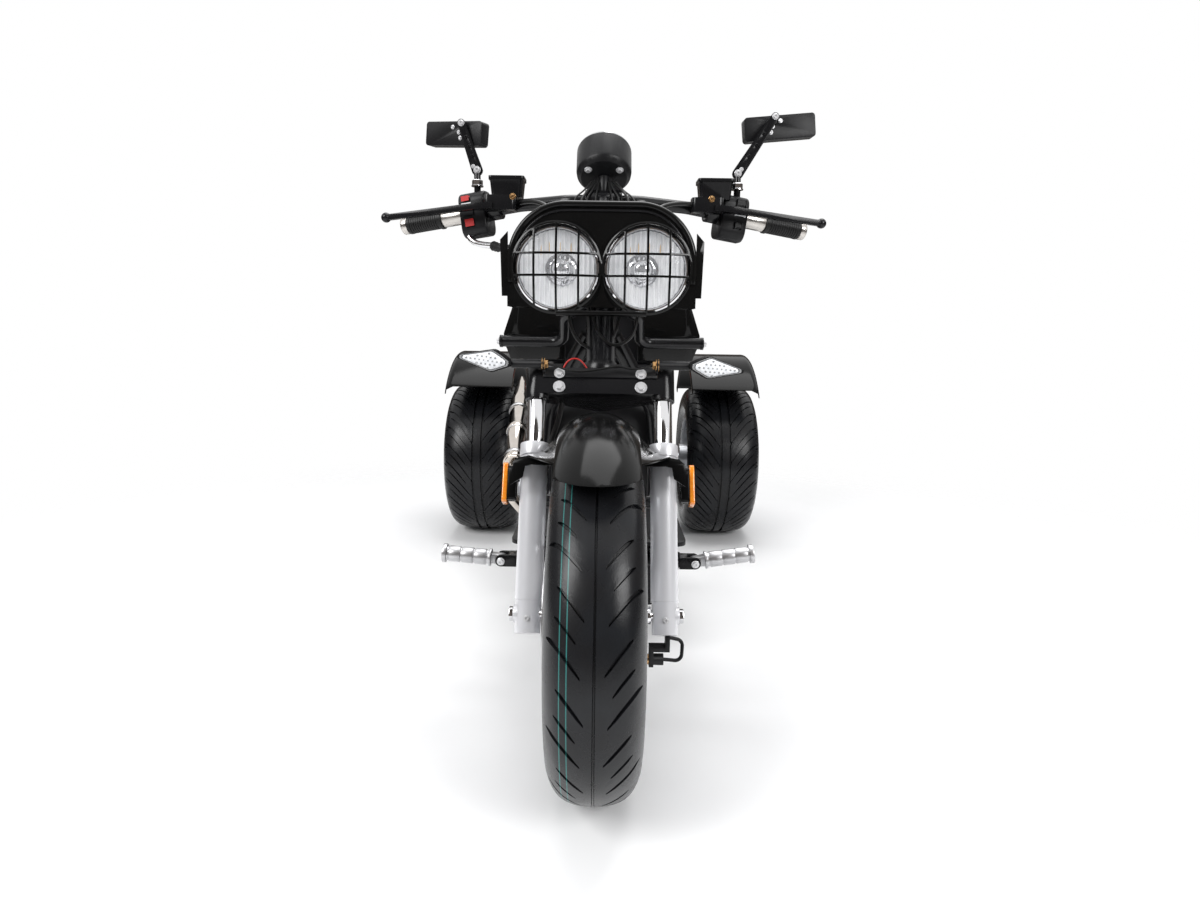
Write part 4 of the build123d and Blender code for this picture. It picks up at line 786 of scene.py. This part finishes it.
def addHeadlamps(info):
    dishes, caps, rims, streaks = [], [], [], []
    front, height, forward = info["front"], info["height"], (0, -1, 0)
    for centre in info["centres"]:
        lean = math.copysign(info["lean"], -centre)
        dishes.append(flutedDish("dish", centre, info))
        caps.append(lathe("cap", info["cap"], behind(centre + lean, front + info["capBack"], height), forward, 28))
        rims.append(lathe("rim", info["rim"], behind(centre, front, height), forward, 72, capped=False))
        for x, low, high in info["streaks"]:
            spots = (low, (low + high) / 2, high)
            streaks.append([behind(centre + x, front + info["streakBack"], height + z) for z in spots])
    dish = newPiece("lampReflectors", joinMeshes("lampReflectors", dishes), "lampFlutes")
    thicken(dish, info["wall"])
    smooth(dish.data, 50)
    settle(dish, "frame", "chrome")
    addPiece("lampBulbCaps", caps, "chrome", "frame", "chrome")
    addPiece("lampRims", rims, "chrome", "frame", "chrome")
    for index, line in enumerate(streaks):
        pipe(f"lampStreak{index}", line, info["streakRadius"], "paleAmber", "frame", "amber")


addHeadlamps(headlamps)

# kite-shaped front signals: rings of (share of the outline, depth) for each part
signals = {
    "outline": [(0, 4), (11, 10.4), (23, 16), (27, 16.8), (30, 16.5), (52, 9.9), (75, 3), (77.4, 1.6), (78, -1),
                (77.2, -3), (75, -4), (52, -9.8), (30, -15.5), (26, -16), (22, -15), (11, -9.6), (0, -4), (-1, 0)],
    "middle": (38, 0.3), "tilt": {-1: 8.0, 1: -4.0}, "start": (130, -30, 356),
    "parts": {
        "signalShells": (
            "plasticBlack", "black_plastic", [(0.9, -14), (1, -11), (1, 11.5), (0.985, 14.6), (0.8, 14.8), (0.7, 14.8)],
        ),
        "signalBezels": (
            "paleBezel", "chrome", [(0.91, 13), (0.91, 15.4), (0.89, 16.2), (0.84, 16.2), (0.82, 15.2), (0.82, 13)],
        ),
        "signalLenses": ("signalWhite", "clear_lens", [(0.79, 13), (0.79, 15.6), (0.74, 16.6), (0.5, 17.6), (0.2, 18)]),
    },
    "dotGap": 6.4, "dotSize": 1.9, "dotShare": 0.68, "dotDepth": 16.6, "dotRows": range(-3, 4), "dotColumns": range(16),
}


def signalPlace(side, x, z, depth):
    tilt = math.radians(signals["tilt"][side])
    level = Vector((math.cos(tilt), 0, side * math.sin(tilt)))
    rise = Vector((-side * math.sin(tilt), 0, math.cos(tilt)))
    out, back, up = signals["start"]
    return onFork(side * out, back, up) + (level * (side * x) + rise * z + Vector((0, -depth, 0))) / 1000


def signalOutline(info, share):
    middle = Vector(info["middle"])
    return [middle + (Vector(p) - middle) * share for p in info["outline"]]


def addSignals(info):
    for name, (finish, slot, rings) in info["parts"].items():
        bm = bmesh.new()
        for side in (-1, 1):
            loops = [
                [bm.verts.new(signalPlace(side, p.x, p.y, depth)) for p in signalOutline(info, share)]
                for share, depth in rings
            ]
            bridge(bm, loops)
            closeEnds(bm, loops)
        replaced = ["front_signal_lenses"] if name == "signalShells" else []
        addPiece(name, meshOf(bm, name), finish, "steering", slot, *replaced, angle=45)


addSignals(signals)


# whether a point lies inside a closed outline
def isInside(point, outline):
    inside = False
    for a, b in zip(outline, outline[1:] + outline[:1]):
        if (a[1] > point[1]) != (b[1] > point[1]):
            inside ^= point[0] < a[0] + (point[1] - a[1]) * (b[0] - a[0]) / (b[1] - a[1])
    return inside


def signalDots(info):
    inner = signalOutline(info, info["dotShare"])
    rows = []
    for side in (-1, 1):
        for row in info["dotRows"]:
            for column in info["dotColumns"]:
                x = (column + (row % 2) / 2) * info["dotGap"]
                z = row * info["dotGap"] * 0.8
                if isInside((x, z), inner):
                    rows.append((signalPlace(side, x, z, info["dotDepth"]), Vector((0, -1, 0)), info["dotSize"]))
    return rows


# bar grips: ribbed rubber, by distance in from the bar's end
grips = {
    "radius": 16.5, "length": 72, "bore": 11, "pitch": 4.5, "groove": 1.1, "ribsStart": 7.0, "ribsEnd": 8,
    "plug": [(11, 10.5), (12.3, 10.5), (12.8, 9.6), (12.8, 1)],
}


def gripAxis(side):
    tip, knee = behind(side * 366, 497, 808), behind(side * 150, 440, 838)
    return tip, (knee - tip).normalized()


def addGrips(info):
    outer, bore, end, along = info["radius"], info["bore"], info["length"], info["ribsStart"]
    inner = outer - info["groove"]
    profile = [(0, bore), (0, outer - 1), (1.2, outer + 0.4), (6, outer + 0.4)]
    while along < end - info["ribsEnd"]:
        profile += [(along, inner), (along + 1.0, inner), (along + 1.6, outer), (along + info["pitch"] - 0.6, outer)]
        along += info["pitch"]
    profile += [(end - 6, outer + 1.2), (end - 1, outer + 1.2), (end, outer), (end, bore)]
    sleeves, plugs = [], []
    for side in (-1, 1):
        tip, run = gripAxis(side)
        sleeves.append(lathe("grip", profile, tip, run, 40, capped=False))
        plugs.append(lathe("plug", info["plug"], tip, -run))
    addPiece("ribbedGrips", sleeves, "gripRubber", "steering", slotOf["grips"], "grips", angle=30)
    addPiece("gripEndPlugs", plugs, "plasticBlack", "steering", "black_plastic")


addGrips(grips)
print("lamps, signals and grips", flush=True)

shocks = {
    "foot": (156, 610, 262), "head": (156, 548, 500), "turns": 8.0, "coil": 21.5, "wire": 3.8, "start": 42, "end": 44,
    "body": [(-6, 13), (6, 13), (8, 14), (34, 14), (36, 25), (42, 25), (42, 15), (60, 15), (61, 13.5), (120, 13.5),
             (122, 8)],
    "rod": [(118, 7), (206, 7)],
    "cap": [(199, 25), (205, 25), (208, 16), (232, 13), (236, 12.5), (250, 12.5)],
    "eye": [(-16, 12), (-15, 13.5), (21, 13.5), (22, 12)],
}


def addShocks(info):
    bodies, rods, springs = [], [], []
    for side in (-1, 1):
        foot, head = (Vector((side * p[0], p[1], p[2])) / 1000 for p in (info["foot"], info["head"]))
        run = (head - foot).normalized()
        bodies += [lathe("body", info["body"], foot, run), lathe("cap", info["cap"], foot, run)]
        bodies.append(lathe("eye", info["eye"], head, (side, 0, 0)))
        rods.append(lathe("rod", info["rod"], foot, run, 20))
        spring = newPiece("coilSpring", bpy.data.meshes.new("coilSpring"), "silverPaint")
        height = (head - foot).length - (info["start"] + info["end"]) / 1000
        values = {"Turns": info["turns"], "Radius": info["coil"] / 1000, "Height": height, "Wire": info["wire"] / 1000}
        runTree(spring, springTree, "silverPaint", values)
        turn = run.to_track_quat("Z", "Y").to_matrix().to_4x4()
        spring.data.transform(Matrix.Translation(foot + run * info["start"] / 1000) @ turn)
        springs.append(spring.data.copy())
        bpy.data.objects.remove(spring)
    addPiece("shockBodies", bodies, "paintBlack", "frame", "black_paint", "rear_shocks", angle=45)
    addPiece("shockRods", rods, "chrome", "frame", "chrome", angle=45)
    addPiece("shockSprings", springs, "silverPaint", "frame", "fork_silver", angle=45)


addShocks(shocks)
print("springs", flush=True)

# seat cushion: the CAD form, a little smaller, swollen by air pressure and then sewn
seat = {
    "voxel": 0.006, "shrink": 0.006, "pressure": 4.0, "cap": 0.009, "floor": 0.5295, "fill": 0.7,
    "sideSeam": 0.577, "crossSeams": (0.195, 0.366, 0.520), "depth": 0.0042, "width": 0.0055, "frames": 20,
    "seamFloor": 0.02, "sideBelow": 0.75, "topAbove": 0.25, "bow": 1.4, "relax": 0.5, "passes": 4,
}


def addSeat(info):
    piece = newPiece("seatCushionCover", meshOf(joinedMesh("seat_cushion"), "seatCushionCover"), "seatVinyl")
    grid = piece.modifiers.new("grid", "REMESH")
    grid.mode = "VOXEL"
    grid.voxel_size = info["voxel"]
    bake(piece)
    mesh = piece.data
    starts = [vertex.co - vertex.normal * info["shrink"] for vertex in mesh.vertices]
    mesh.vertices.foreach_set("co", [c for start in starts for c in start])
    cloth = piece.modifiers.new("air", "CLOTH")
    cloth.settings.use_pressure = True
    cloth.settings.uniform_pressure_force = info["pressure"]
    cloth.settings.effector_weights.gravity = 0
    scene = bpy.context.scene
    for step in range(1, info["frames"] + 1):
        scene.frame_set(step)
    bake(piece)
    scene.frame_set(1)
    mesh = piece.data
    moves = [vertex.co - start for vertex, start in zip(mesh.vertices, starts)]
    ends = [start + move * min(1.0, info["cap"] / max(move.length, 1e-9)) for start, move in zip(starts, moves)]
    mesh.vertices.foreach_set("co", [c for end in ends for c in end])
    relax = piece.modifiers.new("relax", "SMOOTH")
    relax.factor = info["relax"]
    relax.iterations = info["passes"]
    finer = piece.modifiers.new("finer", "SUBSURF")
    finer.levels = finer.render_levels = 1
    bake(piece)
    mesh = piece.data
    sewn = []
    for vertex in mesh.vertices:
        spot, normal = vertex.co, vertex.normal
        sunk = 0.0
        if normal.z < info["sideBelow"] and spot.z > info["floor"] + info["seamFloor"]:
            sunk = math.exp(-(((spot.z - info["sideSeam"]) / info["width"]) ** 2))
        if normal.z > info["topAbove"]:
            for place in info["crossSeams"]:
                bow = place + info["bow"] * spot.x * spot.x
                sunk = max(sunk, math.exp(-(((spot.y - bow) / info["width"]) ** 2)))
        spot = spot - normal * info["depth"] * sunk
        sewn += [spot.x, spot.y, max(spot.z, info["floor"])]
    mesh.vertices.foreach_set("co", sewn)
    mesh.update()
    smooth(mesh, 60)
    settle(piece, "seat", slotOf["seat_cushion"], "seat_cushion")


addSeat(seat)
print("seat", flush=True)


# a small block with rounded edges on three given directions
def roundedBlock(name, centre, across, rise, sizes, edge):
    bm = bmesh.new()
    bmesh.ops.create_cube(bm, size=1.0)
    across, rise = Vector(across).normalized(), Vector(rise).normalized()
    turn = Matrix((across, rise, across.cross(rise))).transposed()
    for vertex in bm.verts:
        vertex.co = Vector(centre) + turn @ Vector(c * s / 1000 for c, s in zip(vertex.co, sizes))
    bmesh.ops.bevel(bm, geom=bm.edges[:], offset=edge / 1000, segments=2, affect="EDGES")
    return meshOf(bm, name)


# instrument: dial, bezel, needle and ticks on the leaning pod; every fourth tick is a long one
gauge = {
    "foot": (0, 392, 878), "lean": 33, "top": 60, "ticks": 25, "sweep": 250, "tickEnd": 37, "every": 4,
    "longTick": (7, 1.1, 0.5), "shortTick": (4, 0.6, 0.5), "needle": (34, 1.6, 0.8),
    "dial": [(-1, 40), (0.4, 40), (0.5, 38), (0.5, 1)],
    "bezel": [(-3, 40), (2.6, 40), (3.6, 41.5), (3.4, 44), (1, 46.4), (-3, 46.4)],
    "hub": [(0.6, 4.5), (3, 4.5), (3.6, 3.8), (3.6, 0.5)],
}
gaugeLean = math.radians(gauge["lean"])
gaugeUp = Vector((0, math.sin(gaugeLean), math.cos(gaugeLean)))
gaugeFar = Vector((0, -math.cos(gaugeLean), math.sin(gaugeLean)))


def addGauge(info):
    centre = behind(*info["foot"]) + gaugeUp * info["top"] / 1000

    def hand(share, lift, middle, sizes, edge):
        angle = math.radians(info["sweep"] * (share - 0.5))
        out = gaugeFar * math.cos(angle) + Vector((math.sin(angle), 0, 0))
        spot = centre + gaugeUp * lift + out * middle / 1000
        return roundedBlock("hand", spot, out, gaugeUp.cross(out), sizes, edge)

    ticks = []
    for index in range(info["ticks"]):
        sizes = info["longTick"] if index % info["every"] == 0 else info["shortTick"]
        ticks.append(hand(index / (info["ticks"] - 1), 0.0008, info["tickEnd"] - sizes[0] / 2, sizes, 0.1))
    needle = [hand(0, 0.0018, 12, info["needle"], 0.3), lathe("hub", info["hub"], centre, gaugeUp, 20)]
    bezel = lathe("bezel", info["bezel"], centre, gaugeUp, 64, capped=False)
    addPiece("gaugeDial", lathe("dial", info["dial"], centre, gaugeUp, 64), "dialWhite", "steering", "black_plastic")
    addPiece("gaugeBezel", bezel, "chrome", "steering", "chrome")
    addPiece("gaugeTicks", ticks, "plasticBlack", "steering", "black_plastic")
    addPiece("gaugeNeedle", needle, "redButton", "steering", "black_plastic")


addGauge(gauge)

# rocker switches on the fronts of the housings: side, along, up, width, height, finish
buttons = {
    "start": 139, "face": 23, "deep": 7, "edge": 1.4, "out": (0.253, -0.968, 0),
    "rows": [
        (-1, -9, 24, 12, 6, "redButton"), (-1, -8, 12, 16, 5, "dialWhite"), (-1, -8, 0, 20, 8, "plasticBlack"),
        (-1, -6, -19, 14, 10, "redButton"), (1, -8, 22, 18, 10, "plasticBlack"), (1, -8, 4, 20, 9, "dialWhite"),
        (1, -8, -18, 14, 9, "plasticBlack"),
    ],
}


def addButtons(info):
    groups = {}
    for side, along, rise, width, height, finish in info["rows"]:
        tip, run = gripAxis(side)
        out = (Vector(info["out"]) * Vector((side, 1, 1))).normalized()
        upward = out.cross(run).normalized()
        upward = upward if upward.z > 0 else -upward
        spot = tip + run * (info["start"] + along) / 1000 + out * info["face"] / 1000 + upward * rise / 1000
        key = roundedBlock("key", spot, run, upward, (width, height, info["deep"]), info["edge"])
        groups.setdefault(finish, []).append(key)
    for finish, meshes in groups.items():
        addPiece("switchKeys-" + finish, meshes, finish, "steering", "black_plastic")


addButtons(buttons)

# throttle cable's bright elbow and rubber boot under the right housing
throttle = {
    "elbow": [(-252, 457, 806), (-250, 456, 790), (-240, 450, 775), (-222, 440, 768), (-200, 429, 766)], "radius": 5.5,
    "boot": [(0, 7.5), (3, 9), (6, 7.6), (9, 8.8), (12, 7.4), (15, 8.4), (18, 6.8), (24, 5), (28, 3.6)],
    "end": (-182, 418, 760),
}


def addThrottle(info):
    points = [behind(*p) for p in info["elbow"]]
    pipe("throttleElbow", points, info["radius"] / 1000, "chrome", "steering", "chrome")
    boot = lathe("boot", info["boot"], points[-1], behind(*info["end"]) - points[-1], 24)
    addPiece("throttleBoot", boot, "gripRubber", "steering", "rubber", angle=30)


addThrottle(throttle)

# clamps round the silencer
silencer = {
    "front": (-207, 800, 295), "rear": (-226, 1085, 413), "radius": 24.3, "clamps": (30, 150, 262), "width": 11,
    "low": 1.2, "high": 1.9,
}


def addSilencerBands(info):
    front, rear = behind(*info["front"]), behind(*info["rear"])
    inner = info["radius"]
    edge, crest = inner + info["low"], inner + info["high"]
    rings = []
    for along in info["clamps"]:
        low, high = along - info["width"] / 2, along + info["width"] / 2
        profile = [(low, inner), (low, edge), (low + 1, crest), (high - 1, crest), (high, edge), (high, inner)]
        rings.append(lathe("band", profile, front, rear - front, 40, capped=False))
    addPiece("silencerBands", rings, "brushedSteel", "frame", "chrome")


addSilencerBands(silencer)

# ridges round the mudguard's side recesses, by points set down on the CAD surface
ridges = {
    "node": "front_fender", "body": "steering", "radius": 1.5, "finish": "glossBlack",
    "lines": [
        [(34, -98, 232), (46, -90, 222), (60, -84, 212), (72, -80, 206)],
        [(30, -110, 228), (36, -112, 212), (40, -110, 198), (38, -106, 186)],
        [(44, -96, 218), (52, -92, 208), (48, -98, 198), (42, -104, 194)],
    ],
}


def addRidges(info):
    node = info["node"]
    surface = surfaceOf(node)
    for index, line in enumerate(info["lines"]):
        for side, letter in ((-1, "R"), (1, "L")):
            spots = [surface.find_nearest(onFork(side * x, y, z))[0] for x, y, z in line]
            name = f"{node}Ridge{index}{letter}"
            pipe(name, spots, info["radius"] / 1000, info["finish"], info["body"], slotOf[node])


addRidges(ridges)

# thin raised lines along the cowl's arch: inset from its rim, distance behind the axle, radius
cowlLines = {
    "half": 133.4, "top": 798, "arc": 81, "low": 690, "steps": 8,
    "lines": [(8.5, 151, 1.8), (-3.5, 168, 2.2), (-3.2, 196, 1.8)],
}


def addCowlLines(info):
    meshes = []
    for inset, back, radius in info["lines"]:
        half, top, arc = info["half"] - inset, info["top"] - inset, info["arc"] - inset
        right = [(half, info["low"]), (half, (info["low"] + top - arc) / 2)]
        for step in range(info["steps"] + 1):
            angle = math.pi / 2 * step / info["steps"]
            right.append((half - arc + arc * math.cos(angle), top - arc + arc * math.sin(angle)))
        line = right + [(0, top)] + [(-x, z) for x, z in reversed(right)]
        meshes.append(curveMesh("cowlLine", [behind(x, back, z) for x, z in line], radius / 1000))
    addPiece("cowlLines", meshes, "paintBlack", "frame", "black_gloss")


addCowlLines(cowlLines)

# dark sheet in the gap behind the head tube, partly painted shade: it stands in for the shade there and for the black
# tubes and cables it hides
innerPanel = {
    "half": 104, "low": 560, "high": 690, "back": 404, "bow": 16, "swell": 10, "rows": 8, "columns": 12, "wall": 0.003,
}


def addShadeGapPanel(info):
    bm = bmesh.new()
    rows = []
    for row in range(info["rows"] + 1):
        up = row / info["rows"]
        line = []
        for column in range(info["columns"] + 1):
            share = 2 * column / info["columns"] - 1
            middle = 1 - share * share
            back = info["back"] + info["bow"] * middle - info["swell"] * math.sin(math.pi * up) * middle
            z = info["low"] + (info["high"] - info["low"]) * up
            line.append(bm.verts.new(behind(share * info["half"], back, z)))
        rows.append(line)
    bridge(bm, rows, closed=False)
    piece = newPiece("innerPanel", meshOf(bm, "innerPanel"), "plasticBlack")
    thicken(piece, info["wall"])
    smooth(piece.data)
    settle(piece, "frame", "black_plastic")


addShadeGapPanel(innerPanel)

# copper nose of the speed sensor, and the nuts at the foot of the mirror stems
sensor = {
    "place": (0.062, -0.670, 0.173), "nose": [(0, 3.5), (0.2, 5.6), (6, 5.6), (6.4, 7.2), (10.6, 7.2), (11, 5.4)],
}
stems = {
    "places": [(-232, 466, 876), (244, 466, 876)], "nut": [(0, 9), (1, 10), (9, 10), (10, 9)],
    "washer": [(-2, 11), (0, 11), (0, 6.2), (-2, 6.2)],
}
upright = Vector((0, 0, 1))
nose = lathe("nose", sensor["nose"], sensor["place"], (1, 0, 0), 24)
addPiece("sensorNose", nose, "brass", "steering", "chrome")
collars = [lathe("nut", stems["nut"], behind(*p), upright, 6) for p in stems["places"]]
collars += [lathe("washer", stems["washer"], behind(*p), upright, 28, capped=False) for p in stems["places"]]
addPiece("mirrorStemNuts", collars, "chrome", "steering", "chrome", angle=30)
print("controls", flush=True)

# fastener heads for a radius of one metre: number of sides, then (along, radius) in millimetres
washer = (16, [(0, 1450), (140, 1450), (200, 1360)])
heads = {
    "hex": [washer, (6, [(200, 1000), (780, 1000), (900, 860)])],
    "socket": [washer, (12, [(200, 1000), (780, 1000), (900, 860), (900, 500), (500, 460)])],
    "dot": [(10, [(0, 1000), (500, 860), (850, 500)])],
}
forward = Vector((0, -1, 0))
forkFront = Vector((0, -math.cos(rake), math.sin(rake)))
forkUp = Vector((0, math.sin(rake), math.cos(rake)))
mirrors = {-1: {"head": (-274, 500, 972), "yaw": 30, "tilt": -6}, 1: {"head": (321, 500, 990), "yaw": 4, "tilt": 6}}
armSpans = [((-232, 903), (-260, 984)), ((244, 903), (307, 1002))]
armFront = 462.9


def bothSides(rows):
    flips = [Vector((s, 1, 1)) for s in (-1, 1)]
    return [(place * flip, Vector(axis) * flip, size) for flip in flips for place, axis, size in rows]


# four nuts round a rear hub, set down on its outer face
def wheelNuts(node, side, circle=0.03, size=6.5):
    surface = surfaceOf(node)
    axis = Vector((side, 0, 0))
    rows = []
    for index in range(4):
        angle = math.pi / 4 + index * math.pi / 2
        start = rearAxle + Vector((side * 0.6, circle * math.cos(angle), circle * math.sin(angle)))
        spot = surface.ray_cast(start, -axis)[0]
        if spot:
            rows.append((spot, axis, size))
    return rows


# bolts of the drive case, on an arc round each end
def caseScrews(back, angles, reach=64, size=4.5):
    return [(behind(154, back + reach * math.cos(a), 302 + reach * math.sin(a)), (1, 0, 0), size) for a in angles]


def mirrorSpot(side, x, z):
    info = mirrors[side]
    turn, roll = math.radians(info["yaw"]), math.radians(info["tilt"])
    front = Vector((side * math.sin(turn), -math.cos(turn), 0))
    level = Vector((math.cos(turn), side * math.sin(turn), 0)) * math.cos(roll) + Vector((0, 0, math.sin(roll)))
    rise = Vector((0, 0, math.cos(roll)))
    return behind(*info["head"]) + front * 0.0121 + (level * -side * x + rise * z) / 1000, front


def armSpot(span, share):
    (x, z), (endX, endZ) = span
    return behind(x + share * (endX - x), armFront, z + share * (endZ - z))


# kind of head, finish, body, slot, and rows of place, axis and size
fasteners = {
    "crownBolts": (
        "hex", "zincBolt", "steering", "chrome",
        bothSides([(onFork(60, -17.7, 326), forkFront, 6.2), (onFork(60, -20.6, 346), forkFront, 5.6)]),
    ),
    "stalkNuts": (
        "hex", "brass", "steering", "chrome",
        bothSides([(onFork(82, -30, 356), (-1, 0, 0), 6.5), (onFork(84.2, -30, 356), (1, 0, 0), 6.5)]),
    ),
    "mirrorScrews": (
        "socket", "zincBolt", "steering", "chrome",
        [(*mirrorSpot(s, x, z), 2.8) for s in (-1, 1) for x, z in ((0, 11), (14, 2), (17, -8))] + [
            (behind(x, armFront, z), forward, size)
            for x, z, size in (
                (-232, 903, 4.6), (-239, 909, 2.6), (-260, 984, 4), (244, 903, 4.6), (250, 910, 2.6), (307, 1002, 4),
            )
        ],
    ),
    "forkScrews": (
        "socket", "zincBolt", "steering", "chrome",
        bothSides([(onFork(93, -17.4, -8), forkFront, 3.2), (onFork(93, 0, 364), forkUp, 8.0)]),
    ),
    "shieldScrews": (
        "socket", "zincBolt", "frame", "chrome",
        bothSides([(behind(150, 400, 690), forward, 4.0), (behind(184, 396, 596), (1, 0, 0), 5.0)]),
    ),
    "cvtScrews": (
        "hex", "zincBolt", "frame", "aluminium",
        caseScrews(940, (1.7, 2.5, 3.3, 4.1)) + caseScrews(1090, (-1.1, -0.4, 0.4, 1.1)),
    ),
    "wheelNutsLeft": ("hex", "zincBolt", "rear_wheel_left", "chrome", wheelNuts("rear_rim_left", 1)),
    "wheelNutsRight": ("hex", "zincBolt", "rear_wheel_right", "chrome", wheelNuts("rear_rim_right", -1)),
    "pegPins": ("socket", "zincBolt", "frame", "chrome", bothSides([(behind(164, 246.8, 231), forward, 4.6)])),
    "armPlugs": (
        "socket", "paintBlack", "steering", "black_paint",
        [(armSpot(span, share), forward, 2.6) for span in armSpans for share in (0.3, 0.5, 0.7)],
    ),
    "gaugeNuts": (
        "hex", "zincBolt", "steering", "chrome",
        [(behind(s * 27, 392, 878) + gaugeFar * 0.02, -gaugeUp, 4.6) for s in (-1, 1)],
    ),
    "lidScrews": (
        "socket", "zincBolt", "steering", "chrome",
        [(behind(x + side, 447, 887), upright, 3) for x in (-174, 200) for side in (-24, 24)],
    ),
    "hoseUnions": (
        "hex", "brass", "steering", "chrome", [(behind(x, 403.6, 848), forward, 3.8) for x in (-160, 190)],
    ),
    "signalDots": ("dot", "paleBezel", "steering", "clear_lens", signalDots(signals)),
}


def addFasteners(groups):
    shapes = {}
    for kind, shells in heads.items():
        meshes = [lathe(kind, profile, (0, 0, 0), upright, count) for count, profile in shells]
        shapes[kind] = newPiece(kind + "Head", joinMeshes(kind, meshes), "zincBolt")
    for name, (kind, finish, body, slot, rows) in groups.items():
        mesh = bpy.data.meshes.new(name)
        mesh.from_pydata([place for place, axis, size in rows], [], [])
        mesh.attributes.new("turn", "FLOAT_VECTOR", "POINT")
        mesh.attributes.new("size", "FLOAT", "POINT")
        turns, sizes = mesh.attributes["turn"], mesh.attributes["size"]
        for index, (place, axis, size) in enumerate(rows):
            turns.data[index].vector = Vector(axis).to_track_quat("Z", "Y").to_euler()
            sizes.data[index].value = size / 1000
        obj = newPiece(name, mesh, finish)
        runTree(obj, fastenerTree, finish, {"Head": shapes[kind]})
        settle(obj, body, slot)
    for shape in shapes.values():
        bpy.data.objects.remove(shape)


addFasteners(fasteners)
print("fasteners", flush=True)

stage = {
    "size": 6, "color": (0.9, 0.9, 0.9), "second": (0.93, 0.93, 0.93), "rough": 0.7, "specular": 0.2,
    "fadeStart": 0.9, "fadeEnd": 2.1, "seen": (1, 1, 1, 1), "light": (0.96, 0.97, 1.0, 1), "strength": 0.42,
}


def cloudedMaterial(name, scale, info):
    material = bpy.data.materials.new(name)
    tree, shader = nodeTree(material)
    color = mixColor(tree, spread(tree, addNoise(tree, scale), 0, 1), info["color"], info["second"])
    tree.links.new(color, shader.inputs["Base Color"])
    shader.inputs["Roughness"].default_value = info["rough"]
    return material, tree, shader


# the floor thins out into the white of the background
def addFloor(info):
    bpy.ops.mesh.primitive_plane_add(size=info["size"], location=(0, 0, 0))
    floor = bpy.context.object
    floor.name = "floor"
    material, tree, shader = cloudedMaterial("floorPale", 3, info)
    shader.inputs["Specular IOR Level"].default_value = info["specular"]
    away = addNode(tree, "ShaderNodeVectorMath", {0: objectCoords(tree)}, operation="LENGTH")
    values = {
        "Value": away.outputs["Value"], "From Min": info["fadeStart"], "From Max": info["fadeEnd"], "To Min": 1.0,
        "To Max": 0.0,
    }
    fade = addNode(tree, "ShaderNodeMapRange", values, interpolation_type="SMOOTHSTEP")
    tree.links.new(fade.outputs["Result"], shader.inputs["Alpha"])
    floor.data.materials.append(material)


# white where it is seen or mirrored, dimmer as a light
def addWorld(info):
    world = bpy.data.worlds.new("studio")
    bpy.context.scene.world = world
    world.use_nodes = True
    tree = world.node_tree
    tree.nodes.clear()
    seen = addNode(tree, "ShaderNodeBackground", {"Color": info["seen"]})
    lit = addNode(tree, "ShaderNodeBackground", {"Color": info["light"], "Strength": info["strength"]})
    rays = addNode(tree, "ShaderNodeLightPath").outputs
    direct = addMath(tree, "MAXIMUM", rays["Is Camera Ray"], rays["Is Transmission Ray"])
    direct = addMath(tree, "MAXIMUM", direct, rays["Is Glossy Ray"])
    values = {"Fac": direct, 1: lit.outputs["Background"], 2: seen.outputs["Background"]}
    pick = addNode(tree, "ShaderNodeMixShader", values)
    addNode(tree, "ShaderNodeOutputWorld", {"Surface": pick.outputs["Shader"]})


softboxes = [
    {"place": (-2.4, -2.4, 2.6), "aim": (0, -0.2, 0.5), "size": 1.8, "power": 108},
    {"place": (2.2, -2.6, 2.0), "aim": (0, -0.2, 0.5), "size": 1.4, "power": 68},
    {"place": (0.2, 0.6, 3.4), "aim": (0, 0.2, 0), "size": 2.6, "power": 80},
]


def addLights(boxes):
    for index, info in enumerate(boxes):
        data = bpy.data.lights.new(f"softbox{index}", "AREA")
        data.energy = info["power"]
        data.size = info["size"]
        lamp = bpy.data.objects.new(f"softbox{index}", data)
        aim = Vector(info["aim"]) - Vector(info["place"])
        lamp.rotation_mode = "QUATERNION"
        lamp.rotation_quaternion = aim.to_track_quat("-Z", "Y")
        lamp.location = info["place"]
        bpy.context.scene.collection.objects.link(lamp)


# dark cards round the studio, seen only in reflections: middle, turn and height
cards = {
    "places": [
        ((0, -3.4, 2.0), 0, 4.6), ((0, 3.4, 0.75), 0, 1.9), ((-3.2, 0, 0.75), 90, 1.9), ((3.2, 0, 0.75), 90, 1.9),
    ],
    "width": 6.4, "color": (0.06, 0.052, 0.046), "second": (0.11, 0.09, 0.075), "rough": 0.9,
}


def addCards(info):
    material = cloudedMaterial("darkCard", 1.4, info)[0]
    for index, (place, turn, height) in enumerate(info["places"]):
        bm = bmesh.new()
        bmesh.ops.create_grid(bm, x_segments=1, y_segments=1, size=0.5)
        stand = Matrix.Rotation(math.radians(turn), 4, "Z") @ Matrix.Rotation(math.radians(90), 4, "X")
        size = Matrix.Diagonal((info["width"], height, 1, 1))
        bmesh.ops.transform(bm, matrix=Matrix.Translation(place) @ stand @ size, verts=bm.verts)
        mesh = meshOf(bm, f"card{index}", outward=False)
        mesh.materials.append(material)
        card = bpy.data.objects.new(f"card{index}", mesh)
        bpy.context.scene.collection.objects.link(card)
        card.visible_camera = False
        card.visible_diffuse = False
        card.visible_shadow = False
        card.visible_transmission = False


addFloor(stage)
addWorld(stage)
addCards(cards)
addLights(softboxes)
print("stage", flush=True)
